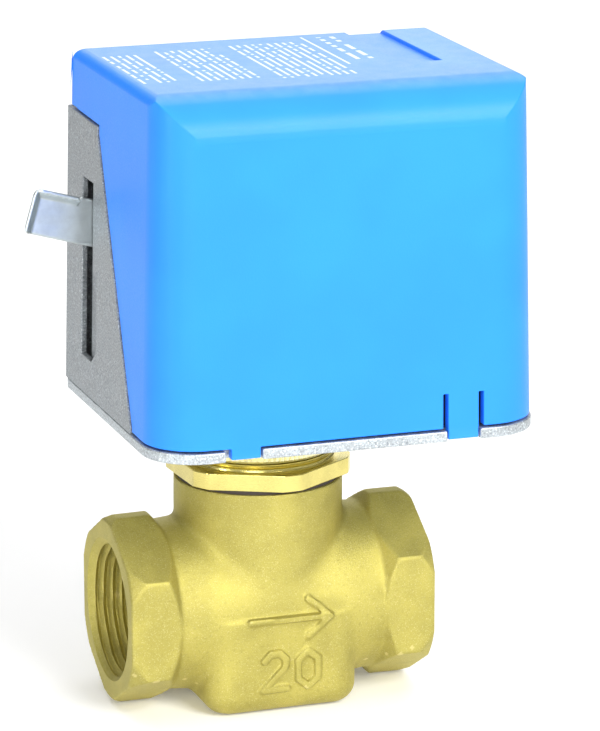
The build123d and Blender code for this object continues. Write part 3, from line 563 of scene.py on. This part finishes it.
def turned_mesh(name, profile, steps):
    """A closed solid turned from (radius, height) points; it may start and end on its vertical axis."""
    points, faces, rings = [], [], len(profile)
    on_axis = profile[0][0] == profile[-1][0] == AXIS_RADIUS
    for step in range(steps):
        angle = TAU * step / steps
        for radius, height in profile:
            points.append((radius * math.cos(angle), radius * math.sin(angle), height))
    for step in range(steps):
        here, after = step * rings, (step + 1) % steps * rings
        for ring in range(rings - on_axis):
            up = (ring + 1) % rings
            faces.append((here + ring, after + ring, after + up, here + up))
    if on_axis:
        for ring in (0, rings - 1):
            faces.append(tuple(step * rings + ring for step in range(steps)))
    return face_outwards(mesh_from(name, points, faces))


def merged_copy(node):
    """A CAD node's mesh with its loose triangles joined, as an open bmesh."""
    made = bmesh.new()
    made.from_mesh(NODES[node].data)
    bmesh.ops.remove_doubles(made, verts=made.verts, dist=2e-6)
    bmesh.ops.dissolve_limit(made, angle_limit=math.radians(0.4), verts=made.verts, edges=made.edges)
    return made


def softened(node, width, angle=30.0, cut_width=(0.0, 0.0), segments=2):
    """A copy of a CAD node with soft edges; sheared edges within cut_width take the second material."""
    made = merged_copy(node)
    for face in made.faces:
        wide = face.calc_area() / max(face.calc_perimeter() / 2, 1e-9) / MM
        sheared = cut_width[0] < wide < cut_width[1] and abs(face.normal.x) < 0.15
        face.material_index = 1 if sheared else 0
    sharp = [e for e in made.edges if e.is_manifold and e.calc_face_angle(0.0) > math.radians(angle)]
    bmesh.ops.bevel(made, geom=sharp, offset=width * MM, segments=segments, profile=0.5,
                    affect="EDGES", clamp_overlap=False)
    bmesh.ops.triangulate(made, faces=[f for f in made.faces if len(f.verts) > 4])
    mesh = bpy.data.meshes.new(node + "_soft")
    made.to_mesh(mesh)
    made.free()
    smooth(mesh)
    worker = temporary(mesh)
    even = worker.modifiers.new("even", "WEIGHTED_NORMAL")
    even.keep_sharp = True
    return settled(worker, mesh.name)


def skin(field, low, step):
    """Quads over the zero level of a field sampled on a grid; the field is negative inside."""
    cells = np.array(field.shape) - 1
    total, count = np.zeros((*cells, 3)), np.zeros(cells)
    crossings = []
    for axis in range(3):
        first = field[tuple(slice(None, -1) if k == axis else slice(None) for k in range(3))]
        second = field[tuple(slice(1, None) if k == axis else slice(None) for k in range(3))]
        index = np.argwhere((first < 0) != (second < 0))
        start, end = first[tuple(index.T)], second[tuple(index.T)]
        point = index.astype(float)
        point[:, axis] += start / (start - end)
        side, up = [k for k in range(3) if k != axis]
        around = []
        for offset in ((0, 0), (-1, 0), (-1, -1), (0, -1)):
            cell = index.copy()
            cell[:, side] += offset[0]
            cell[:, up] += offset[1]
            np.add.at(total, tuple(cell.T), point)
            np.add.at(count, tuple(cell.T), 1)
            around.append(cell)
        crossings.append((axis, start < 0, around))
    used = np.argwhere(count > 0)
    number = np.full(cells, -1)
    number[tuple(used.T)] = np.arange(len(used))
    points = total[tuple(used.T)] / count[tuple(used.T)][:, None]
    faces = []
    for axis, outwards, around in crossings:
        quad = np.stack([number[tuple(cell.T)] for cell in around], axis=1)
        keep = outwards if axis != 1 else ~outwards
        quad[~keep] = quad[~keep][:, ::-1]
        faces.append(quad)
    return points * step + np.asarray(low), np.concatenate(faces).tolist()


def sampled(low, high, step):
    axes = [np.arange(a - 2 * step, b + 3 * step, step) for a, b in zip(low, high)]
    start = [axis[0] for axis in axes]
    return start, np.meshgrid(*axes, indexing="ij")


def blended(first, second, size):
    """Union of two fields with a fillet between them."""
    near = np.maximum(size - np.abs(first - second), 0) / size
    return np.minimum(first, second) - near * near * size / 4


def crossed(first, second, size):
    """Common part of two fields with a rounded edge between them."""
    return -blended(-first, -second, size)


def stroke(u, v, start, end):
    """Distance in a plane from a straight stroke."""
    ax, ay = start
    bx, by = end[0] - ax, end[1] - ay
    along = np.clip(((u - ax) * bx + (v - ay) * by) / (bx * bx + by * by), 0, 1)
    return np.hypot(u - ax - along * bx, v - ay - along * by)


# ------------------------------------------------------------------ geometry trees
def new_tree(name, inputs):
    """A geometry tree with its named inputs; gives the tree, a Graph over it and the input terms."""
    tree = bpy.data.node_groups.new(name, "GeometryNodeTree")
    tree.interface.new_socket("Geometry", in_out="INPUT", socket_type="NodeSocketGeometry")
    for label, kind in inputs:
        tree.interface.new_socket(label, in_out="INPUT", socket_type="NodeSocket" + kind)
    tree.interface.new_socket("Geometry", in_out="OUTPUT", socket_type="NodeSocketGeometry")
    graph = Graph(tree)
    source = tree.nodes.new("NodeGroupInput")
    return tree, graph, {socket.name: Term(graph, socket) for socket in source.outputs if socket.name}


def close_tree(graph, geometry, material):
    """Ends a tree in Realize Instances and Set Material."""
    real = graph.node("GeometryNodeRealizeInstances", values={"Geometry": geometry})
    done = graph.node("GeometryNodeSetMaterial", values={"Geometry": real, "Material": material})
    out = graph.tree.nodes.new("NodeGroupOutput")
    graph.tree.links.new(done.socket, out.inputs[0])


def grown(mesh, tree, values, name):
    """Runs a geometry tree on a mesh and gives the plain result."""
    worker = temporary(mesh)
    modifier = worker.modifiers.new("grow", "NODES")
    modifier.node_group = tree
    for item in tree.interface.items_tree:
        if item.item_type == "SOCKET" and item.in_out == "INPUT" and item.name in values:
            modifier[item.identifier] = values[item.name]
    return settled(worker, name)


def knurl_tree():
    """Ridges round a ring: a diamond bar on each point of a circle, half sunk into the ring."""
    tree, g, given = new_tree("knurl", [
        ("Teeth", "Int"), ("Radius", "Float"), ("Depth", "Float"), ("Bottom", "Float"),
        ("Height", "Float"), ("Material", "Material")])
    circle = g.node("GeometryNodeMeshCircle", None, {"Vertices": given["Teeth"], "Radius": given["Radius"]})
    middle = given["Bottom"] + given["Height"] * 0.5
    lifted = g.node("GeometryNodeSetPosition", None, {"Geometry": circle, "Offset": g.join(0.0, 0.0, middle)})
    bar = g.node("GeometryNodeMeshCylinder", None, {
        "Vertices": 4, "Side Segments": 1, "Radius": given["Depth"], "Depth": given["Height"]})
    turn = g.node("GeometryNodeInputIndex") * TAU / given["Teeth"]
    bars = g.node("GeometryNodeInstanceOnPoints", None, {
        "Points": lifted, "Instance": bar, "Rotation": g.join(0.0, 0.0, turn)})
    both = g.tree.nodes.new("GeometryNodeJoinGeometry")
    for term in (bars, given["Geometry"]):
        g.tree.links.new(term.socket, both.inputs[0])
    close_tree(g, Term(g, both.outputs[0]), given["Material"])
    return tree


def screw_tree():
    """A head on every point of a mesh, turned to face one way and spun by a fixed seed."""
    tree, g, given = new_tree("screws", [
        ("Head", "Object"), ("Facing", "Rotation"), ("Seed", "Int"), ("Material", "Material")])
    head = g.node("GeometryNodeObjectInfo", None, {"Object": given["Head"]}, out="Geometry")
    spin = g.node("FunctionNodeRandomValue", {"data_type": "FLOAT"},
                  {"Min": 0.0, "Max": TAU, "Seed": given["Seed"]}, out=1)
    turn = g.node("FunctionNodeAxisAngleToRotation", None, {"Axis": (0.0, 0.0, 1.0), "Angle": spin})
    facing = g.node("FunctionNodeRotateRotation", {"rotation_space": "LOCAL"},
                    {"Rotation": given["Facing"], "Rotate By": turn})
    heads = g.node("GeometryNodeInstanceOnPoints", None, {
        "Points": given["Geometry"], "Instance": head, "Rotation": facing})
    close_tree(g, heads, given["Material"])
    return tree


# ------------------------------------------------------------------ valve body
MOUTH_X = 30.0                # the ports' mouths
CHAMFER = math.radians(30)    # of the hexagons' outer corners
CHAMFER_LAND = 0.8            # how far the chamfer starts outside the flats
SHOULDER = (16.25, 20.2, 1.15, 0.656)     # cone behind each hexagon: radius, X, slope, scale to a distance
WAIST_START, WAIST_LENGTH = 12.0, 9.0
BARREL_END = 24.0
BELLY_X, BELLY_Y, BELLY_CORNER, BELLY_EDGE = 15.0, 16.9, 5.0, 3.8
SWAY = 0.045                  # unevenness of the casting


def casting_field(x, y, z, sizes):
    """Signed distance to the rough casting, in millimetres."""
    rise, reach = z - FLOW_Z, np.abs(x)
    about_flow, about_stem = np.hypot(y, rise), np.hypot(x, y)
    across = np.abs(y)
    leaning = across * math.sin(CHAMFER) + np.abs(rise) * math.cos(CHAMFER)
    flats = sizes.hex_flats / 2
    hexagon = np.maximum(across - flats, leaning - flats)
    hexagon = np.maximum(hexagon, np.abs(rise) - sizes.hex_cut)
    radius, start, slope, scale = SHOULDER
    hexagon = np.maximum(hexagon, (about_flow - radius - (reach - start) * slope) * scale)
    bevel = about_flow - flats - CHAMFER_LAND - (MOUTH_X - reach) * math.tan(CHAMFER)
    hexagon = np.maximum(hexagon, bevel * math.cos(CHAMFER))
    waist = np.clip((reach - WAIST_START) / WAIST_LENGTH, 0, 1)
    narrowing = (sizes.barrel_radius - sizes.barrel_waist) * waist * waist * (3 - 2 * waist)
    barrel = np.maximum(about_flow - sizes.barrel_radius + narrowing, reach - BARREL_END)
    neck = np.maximum(about_stem - sizes.neck_radius, FLOW_Z - z)
    beyond_x, beyond_y = reach - BELLY_X + BELLY_CORNER, across - BELLY_Y + BELLY_CORNER
    sides = np.hypot(np.maximum(beyond_x, 0), np.maximum(beyond_y, 0))
    sides = sides + np.minimum(np.maximum(beyond_x, beyond_y), 0) - BELLY_CORNER
    out, below = sides + BELLY_EDGE, BELLY_EDGE - z
    belly = np.hypot(np.maximum(out, 0), np.maximum(below, 0)) + np.minimum(np.maximum(out, below), 0)
    belly = np.maximum(belly - BELLY_EDGE, z - FLOW_Z)
    whole = blended(barrel, neck, sizes.neck_blend)
    whole = blended(whole, belly, sizes.belly_blend)
    whole = blended(whole, hexagon, 0.4)
    sway = np.sin(x * 0.31 + 1.0) * np.sin(z * 0.27 + 0.4) + np.sin(x * 0.13 + z * 0.19)
    whole = whole + SWAY * sway
    marks = np.maximum(cast_mark(x, z), y)
    whole = blended(whole, np.maximum(marks, whole - sizes.mark_height), 0.45)
    whole = np.maximum(np.maximum(whole, z - BODY_HIGH.z), -z)
    return np.maximum(whole, reach - BODY_HIGH.x)


ARROW = (((-7.0, 18.6), (8.6, 18.6)), ((8.6, 18.6), (4.4, 22.2)), ((8.6, 18.6), (4.4, 15.0)))
FIGURE_TWO = ((-4.4, 10.7), (-3.2, 12.0), (-1.3, 12.0), (-0.1, 10.7), (-0.3, 9.2), (-4.6, 5.0), (0.1, 5.0))
FIGURE_NOUGHT = ((4.2, 12.0), (6.2, 10.4), (6.2, 6.6), (4.2, 5.0), (2.3, 6.6), (2.3, 10.4), (4.2, 12.0))
MARK_STROKE = 0.62            # half the width of a cast stroke


def cast_mark(x, z):
    """Distance to the strokes of the cast mark: a flow arrow over a plain figure."""
    strokes = list(ARROW)
    for path in (FIGURE_TWO, FIGURE_NOUGHT):
        strokes += list(zip(path, path[1:]))
    nearest = stroke(x, z, *strokes[0])
    for start, end in strokes[1:]:
        nearest = np.minimum(nearest, stroke(x, z, start, end))
    return nearest - MARK_STROKE


def thread_cutter(end, sizes):
    """The space inside a port: chamfered mouth, helical thread and plain run-out."""
    around, rows = 96, 66
    depth_end, over = 14.0, 0.8
    points, faces = [], []
    for row in range(rows + 1):
        depth = -over + (depth_end + over) * row / rows
        for step in range(around):
            turn = step / around
            phase = (depth / sizes.thread_pitch - turn) % 1.0
            ridge = min(max(abs(2 * phase - 1) * 1.3 - 0.12, 0.0), 1.0)
            radius = sizes.thread_crest + (sizes.thread_root - sizes.thread_crest) * ridge
            radius = max(radius, 13.75 - max(depth, 0.0) * 1.1)
            if depth > depth_end - 1.2:
                radius = sizes.thread_root
            angle = TAU * turn
            across, rise = radius * math.cos(angle), radius * math.sin(angle)
            points.append((end * (BODY_HIGH.x - depth), across, FLOW_Z + rise))
    for row in range(rows):
        for step in range(around):
            after = (step + 1) % around
            here = row * around
            faces.append((here + step, here + after, here + around + after, here + around + step))
    faces.append(tuple(range(around)))
    faces.append(tuple(range(rows * around, (rows + 1) * around)))
    return face_outwards(mesh_from("port", points, faces))


BORES = (                     # name, lowest and highest point, radius
    ("neck_bore", 21.5, 44.0, 13.0),
    ("web_bore", 17.0, 22.0, 10.5),
    ("chamber", 4.0, 17.5, 12.0),
)
PASSAGES = (                  # from each port to its chamber
    ((-17, -9, 7.5), (0, 9, 17.5)),
    ((0, -9, 21.5), (17, 9, 29.5)),
)


def make_valve_body():
    """Casting with soft blends, cut by threaded ports, chambers and the neck's bore."""
    sizes = bpy.context.scene.valve_sizes
    low, (x, y, z) = sampled((-MOUTH_X, -19.2, 0), (MOUTH_X, 19.2, 42.7), sizes.grid)
    points, faces = skin(casting_field(x, y, z, sizes), low, sizes.grid)
    rough = mesh_from("valve_body_casting", points, faces)
    cutters = [thread_cutter(end, sizes) for end in (-1, 1)]
    for name, bottom, top, radius in BORES:
        profile = [(AXIS_RADIUS, bottom), (radius, bottom), (radius, top), (AXIS_RADIUS, top)]
        cutters.append(turned_mesh(name, profile, 96))
    cutters += [box_mesh(*passage) for passage in PASSAGES]
    mesh = carve(rough, cutters)
    for face in mesh.polygons:
        centre = face.center / MM
        about = math.hypot(centre.y, centre.z - FLOW_Z)
        end_face = abs(face.normal.x) > 0.9 and abs(centre.x) > BODY_HIGH.x - 0.3
        in_port = about < 13.9 and abs(centre.x) > 16.05
        top = face.normal.z > 0.9 and centre.z > BODY_HIGH.z - 0.2
        face.material_index = 1 if end_face or in_port or top else 0
    smooth(mesh, 27)
    return place_mesh("valve_body_casting", mesh, "valve", ("brass_cast", "brass_bored"),
                      ("valve_body",))


# ------------------------------------------------------------------ bonnet and ring
def make_bonnet():
    """Bonnet with broken edges on its hexagon and turned steps."""
    mesh = softened("bonnet", bpy.context.scene.actuator_sizes.fine_edge)
    for face in mesh.polygons:
        upright = abs(face.normal.z) < 0.3
        height = face.center.z / MM
        face.material_index = 1 if upright and 43.4 < height < 46.8 else 0
    return place_mesh("bonnet_turned", mesh, "valve", ("brass_turned", "brass_milled"),
                      ("bonnet",))


def make_ring():
    """Knurled ring: a turned ring with straight ridges grown round it."""
    sizes = bpy.context.scene.actuator_sizes
    outer = RING_HIGH.x - sizes.tooth_depth
    profile = [
        (12.56, 48.4), (outer - 0.5, 48.4), (outer, 48.9), (outer, 55.7), (outer - 0.4, 56.1),
        (13.9, 56.1), (13.9, 60.1), (13.7, 60.3), (12.56, 60.3)]
    ring = turned_mesh("ring", profile, 192)
    values = {
        "Teeth": sizes.teeth, "Radius": outer * MM, "Depth": sizes.tooth_depth * 0.96 * MM,
        "Bottom": 49.0 * MM, "Height": 6.6 * MM, "Material": finishes()["brass_knurled"]}
    mesh = grown(ring, knurl_tree(), values, "ring_nut_knurled")
    smooth(mesh, 30)
    return place_mesh("ring_nut_knurled", mesh, "ring", ("brass_knurled",), ("ring_nut",))


def make_spring():
    """The valve's return spring, which shortens as the stem goes down."""
    made = merged_copy("valve_spring")
    mesh = bpy.data.meshes.new("valve_spring_coil")
    made.to_mesh(mesh)
    made.free()
    smooth(mesh, 60)
    piece = place_mesh("valve_spring_coil", mesh, "valve", ("spring_steel",),
                       ("valve_spring",))
    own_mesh(piece)


# ------------------------------------------------------------------ sheet parts
def make_base_plate():
    mesh = softened("base_plate", bpy.context.scene.actuator_sizes.edge, segments=3)
    return place_mesh("base_plate_sheet", mesh, "actuator", ("plate_edge",), ("base_plate",))


def make_bracket():
    mesh = softened("rear_bracket", bpy.context.scene.actuator_sizes.edge * 0.6, cut_width=(0.9, 1.22))
    return place_mesh("rear_bracket_sheet", mesh, "actuator", ("galvanised", "cut_edge"),
                      ("rear_bracket",))


def make_cover():
    mesh = softened("cover", bpy.context.scene.actuator_sizes.fine_edge, angle=20)
    return place_mesh("cover_moulding", mesh, "cover", ("cover_blue",), ("cover",))


LEVER_START, LEVER_END, LEVER_HALF_WIDTH = 8.5, 52.3, 4.5      # along the arm from the pivot
LEVER_GRID, LEVER_CORNER = 0.24, 1.6
RIM_START, RIM_WIDTH = 43.0, 1.9
RIVET_PLACES, RIVET_HOLE = (12.0, 20.0), 1.2


def make_lever():
    """Lever's arm with its bent-out rim, soft corners and rivet holes."""
    lip = bpy.context.scene.actuator_sizes.lip
    low, (u, v, w) = sampled((LEVER_START, -LEVER_HALF_WIDTH, -lip - 0.6), (LEVER_END, LEVER_HALF_WIDTH, 1.2),
                             LEVER_GRID)
    middle, half_length = (LEVER_START + LEVER_END) / 2, (LEVER_END - LEVER_START) / 2
    over_u = np.abs(u - middle) - half_length + LEVER_CORNER
    over_v = np.abs(v) - LEVER_HALF_WIDTH + LEVER_CORNER
    outline = np.hypot(np.maximum(over_u, 0), np.maximum(over_v, 0)) - LEVER_CORNER
    outline = outline + np.minimum(np.maximum(over_u, over_v), 0)
    from_top = np.where(u > RIM_START, LEVER_HALF_WIDTH - v, 2 * LEVER_HALF_WIDTH)
    from_rim = np.minimum(LEVER_END - u, from_top)
    rim = np.clip(1 - from_rim / RIM_WIDTH, 0, 1)
    centre = 0.6 - lip * rim * rim * (3 - 2 * rim)
    slope = 1 + 0.9 * np.clip(rim * (1 - rim) * 4, 0, 1)
    sheet = (np.abs(w - centre) - 0.42 * slope) / slope
    field = crossed(sheet, outline, 0.5)
    for place in RIVET_PLACES:
        field = np.maximum(field, RIVET_HOLE - np.hypot(u - place, v))
    notch = 0.45 - np.hypot(u - RIM_START, v - 4.4)
    field = np.maximum(field, notch)
    points, faces = skin(field, low, LEVER_GRID)
    along = Vector((math.cos(LEVER_ANGLE), 0, math.sin(LEVER_ANGLE)))
    across = Vector((math.sin(LEVER_ANGLE), 0, -math.cos(LEVER_ANGLE)))
    back = node_box("manual_lever")[0].y
    placed = [PIVOT + along * p[0] + across * p[1] + Vector((0, back + p[2], 0)) for p in points]
    mesh = face_outwards(mesh_from("manual_lever_tab", [tuple(p) for p in placed], faces))
    smooth(mesh, 50)
    return place_mesh("manual_lever_tab", mesh, "lever", ("zinc_plated",), ("manual_lever",))


# ------------------------------------------------------------------ screws
def islands(node):
    """Lowest and highest corner of each separate solid of a CAD node, in millimetres."""
    made = merged_copy(node)
    left, boxes = set(made.verts), []
    while left:
        queue, group = [left.pop()], []
        while queue:
            here = queue.pop()
            group.append(here.co / MM)
            for other in (edge.other_vert(here) for edge in here.link_edges):
                if other in left:
                    left.remove(other)
                    queue.append(other)
        boxes.append(tuple(Vector([pick(p[k] for p in group) for k in range(3)]) for pick in (min, max)))
    made.free()
    return sorted(boxes, key=lambda pair: tuple(pair[0]))


def screw_head(radius, height, shank):
    """A domed head with a cross recess and its shank, seated on z = 0 and facing up, in millimetres."""
    dome = [(radius * math.cos(turn), height * (0.35 + 0.65 * math.sin(turn)))
            for turn in np.linspace(0, math.pi / 2 - 0.06, 7)]
    profile = [(AXIS_RADIUS, -shank), (radius * 0.5, -shank), (radius * 0.5, -0.01), (radius * 0.96, 0.0)]
    head = turned_mesh("head", profile + dome + [(AXIS_RADIUS, height)], 32)
    arm, wide = radius * 0.55, radius * 0.13
    slots = [box_mesh((-arm, -wide, height * 0.45), (arm, wide, height + 1)),
             box_mesh((-wide, -arm, height * 0.45), (wide, arm, height + 1))]
    return carve(head, slots)


SCREWS = (                  # CAD node, the way its heads face, head height, seed
    ("bracket_screws", (0, 0, -1), 1.5, 1),
    ("foot_screws", (0, 0, -1), 1.5, 2),
    ("pillar_screws", (0, -1, 0), 1.6, 3),
    ("motor_screws", (0, -1, 0), 1.6, 4),
    ("earth_screw", (0, 1, 0), 2.0, 5),
    ("terminal_screws", (0, 0, 1), 1.9, 6),
)


def make_screws():
    """Domed cross-recess screws, grown on the places of the CAD's own."""
    tree = screw_tree()
    for node, facing, height, seed in SCREWS:
        axis = max(range(3), key=lambda k: abs(facing[k]))
        sign, side = facing[axis], (axis + 1) % 3
        seats = []
        for low, high in islands(node):
            seat = (low + high) / 2
            seat[axis] = (high if sign > 0 else low)[axis] - sign * height
            seats.append(seat * MM)
            radius, tall = (high - low)[side] / 2, (high - low)[axis]
        points = bpy.data.meshes.new("seats")
        points.from_pydata(seats, [], [])
        head = temporary(screw_head(radius, height, max(tall - height, 0.2)))
        values = {"Head": head, "Facing": Vector(facing).to_track_quat("Z", "Y").to_euler(), "Seed": seed,
                  "Material": finishes()["zinc_plated"]}
        mesh = grown(points, tree, values, node + "_domed")
        bpy.data.objects.remove(head)
        smooth(mesh, 35)
        place_mesh(node + "_domed", mesh, "actuator", ("zinc_plated",), (node,))


# ------------------------------------------------------------------ carried-over nodes
CARRIED = {
    "brass_turned": ("seat_cage", "spring_cap", "plug_nut", "plug_disc", "motor_pinion", "pivot_tube",
                     "wire_clamps"),
    "fibre": ("bonnet_gasket",),
    "rubber": ("stem_seals", "plug_washer", "cable_grommet"),
    "polymer_white": ("gland_bush", "gear_one", "gear_two"),
    "polymer_black": ("cam_lobe", "terminal_block"),
    "spring_steel": ("return_spring", "ring_washer", "ring_clip"),
    "steel_bright": ("valve_stem", "motor_shaft", "gear_axles", "lever_pivot_pin", "lever_rivets",
                     "plate_pillars"),
    "zinc_plated": ("stator_poles", "quadrant_gear", "motor_can", "motor_lid"),
    "galvanised": ("slot_guide", "front_gear_plate", "rear_gear_plate"),
    "copper_coil": ("stator_coil",),
    "ferrite": ("rotor_magnet",),
}


def dress_nodes():
    """Gives every CAD node that stays its finish."""
    for key, names in CARRIED.items():
        for name in names:
            node = NODES[name]
            if node.material_slots:
                node.material_slots[0].material = finishes()[key]
            else:
                node.data.materials.append(finishes()[key])


# ------------------------------------------------------------------ stage
def make_stage():
    settings = bpy.context.scene.stage_settings
    f = Finish("pale_floor")
    base = f.tint(f.ramp(f.noise(40.0), 0.3, 0.7), shaded(settings.floor, 0.99), settings.floor)
    distance = f.math("SQRT", f.x * f.x + f.y * f.y)
    glow = f.ramp(distance, 0.8, 2.2, 0.10, 1.0)
    f.set(Base_Color=base, Roughness=0.75, Emission_Color=f.join(glow, glow, glow), Emission_Strength=1.0)
    half = 6.0
    mesh = bpy.data.meshes.new("floor")
    mesh.from_pydata([(-half, -half, -0.0002), (half, -half, -0.0002), (half, half, -0.0002),
                      (-half, half, -0.0002)], [], [(0, 1, 2, 3)])
    mesh.materials.append(f.done())
    floor = bpy.data.objects.new("floor", mesh)
    bpy.context.scene.collection.objects.link(floor)
    light_stage(settings)
    aim_camera(settings)


LIGHTS = (                  # name, place, width, height, power in watts
    ("key_softbox", (0.42, -1.22, 0.85), 0.7, 0.6, 23.0),
    ("left_fill", (-0.55, -1.15, 0.45), 0.5, 0.5, 8.0),
    ("top_softbox", (0.05, 0.15, 1.25), 1.8, 1.8, 15.0),
    ("corner_strip", (-1.0, -0.35, 0.16), 0.07, 0.5, 2.6),
    ("back_softbox", (0.35, 1.30, 0.45), 1.0, 0.6, 3.5),
)


def light_stage(settings):
    world = bpy.data.worlds.new("even_light")
    world.use_nodes = True
    sky = world.node_tree.nodes["Background"]
    sky.inputs["Color"].default_value = (1.0, 1.0, 1.0, 1.0)
    sky.inputs["Strength"].default_value = settings.ambient
    bpy.context.scene.world = world
    bpy.context.scene.view_settings.view_transform = "Standard"
    target = Vector((0.005, -0.005, 0.06))
    for name, place, width, height, power in LIGHTS:
        lamp = bpy.data.lights.new(name, "AREA")
        lamp.shape, lamp.size, lamp.size_y, lamp.energy = "RECTANGLE", width, height, power
        holder = bpy.data.objects.new(name, lamp)
        holder.location = place
        holder.rotation_euler = (target - Vector(place)).to_track_quat("-Z", "Y").to_euler()
        bpy.context.scene.collection.objects.link(holder)


def aim_camera(settings):
    turn, rise = settings.azimuth, settings.elevation
    back = Vector((math.sin(turn) * math.cos(rise), -math.cos(turn) * math.cos(rise), math.sin(rise)))
    lens = bpy.data.cameras.new("camera")
    lens.lens, lens.sensor_width = settings.lens, 36.0
    lens.clip_start, lens.clip_end = 0.01, 50.0
    camera = bpy.data.objects.new("camera", lens)
    camera.location = Vector(settings.target) + back * settings.distance
    camera.rotation_euler = (-back).to_track_quat("-Z", "Y").to_euler()
    bpy.context.scene.collection.objects.link(camera)
    bpy.context.scene.camera = camera


# ------------------------------------------------------------------ add-on
def build_step(idname, label, text, work):
    """An Operator class for one piece or group of like pieces."""
    def execute(self, context):
        work()
        return {"FINISHED"}
    name = "ZONEVALVE_OT_" + idname
    return type(name, (Operator,), {
        "bl_idname": "zonevalve." + idname, "bl_label": label, "__doc__": text,
        "bl_options": {"REGISTER", "UNDO"}, "execute": execute})


STEPS = (
    build_step("stage", "Stage", "Makes the floor, the lights and the camera", make_stage),
    build_step("valve_body", "Valve body", "Makes the cast body with its threaded ports", make_valve_body),
    build_step("bonnet", "Bonnet", "Makes the bonnet", make_bonnet),
    build_step("ring", "Knurled ring", "Makes the knurled ring", make_ring),
    build_step("spring", "Valve spring", "Makes the valve's return spring", make_spring),
    build_step("base_plate", "Base plate", "Makes the base plate", make_base_plate),
    build_step("bracket", "Rear bracket", "Makes the bracket behind the cover", make_bracket),
    build_step("cover", "Cover", "Makes the moulded cover", make_cover),
    build_step("lever", "Manual lever", "Makes the manual lever", make_lever),
    build_step("screws", "Screws", "Makes the screws of the bracket, plates and terminals", make_screws),
    build_step("dress", "Inner pieces", "Gives the inner pieces their finishes", dress_nodes),
)


class ZONEVALVE_PT_panel(Panel):
    """Sizes, colours and build steps of the zone valve."""
    bl_label = "Zone Valve"
    bl_idname = "ZONEVALVE_PT_panel"
    bl_space_type = "VIEW_3D"
    bl_region_type = "UI"
    bl_category = "Zone Valve"

    def draw(self, context):
        scene = context.scene
        for group in (scene.valve_sizes, scene.actuator_sizes, scene.valve_colours, scene.stage_settings):
            box = self.layout.box()
            for key in group.__annotations__:
                box.prop(group, key)
        for step in STEPS:
            self.layout.operator(step.bl_idname)


GROUPS = {"valve_sizes": ValveSizes, "actuator_sizes": ActuatorSizes, "valve_colours": ValveColours,
          "stage_settings": StageSettings}


def register():
    for name, group in GROUPS.items():
        bpy.utils.register_class(group)
        setattr(bpy.types.Scene, name, PointerProperty(type=group))
    for step in STEPS:
        bpy.utils.register_class(step)
    bpy.utils.register_class(ZONEVALVE_PT_panel)


def unregister():
    bpy.utils.unregister_class(ZONEVALVE_PT_panel)
    for step in reversed(STEPS):
        bpy.utils.unregister_class(step)
    for name, group in GROUPS.items():
        delattr(bpy.types.Scene, name)
        bpy.utils.unregister_class(group)


def main():
    register()
    for step in STEPS:
        getattr(bpy.ops.zonevalve, step.bl_idname.split(".")[1])()


if __name__ == "__main__":
    main()
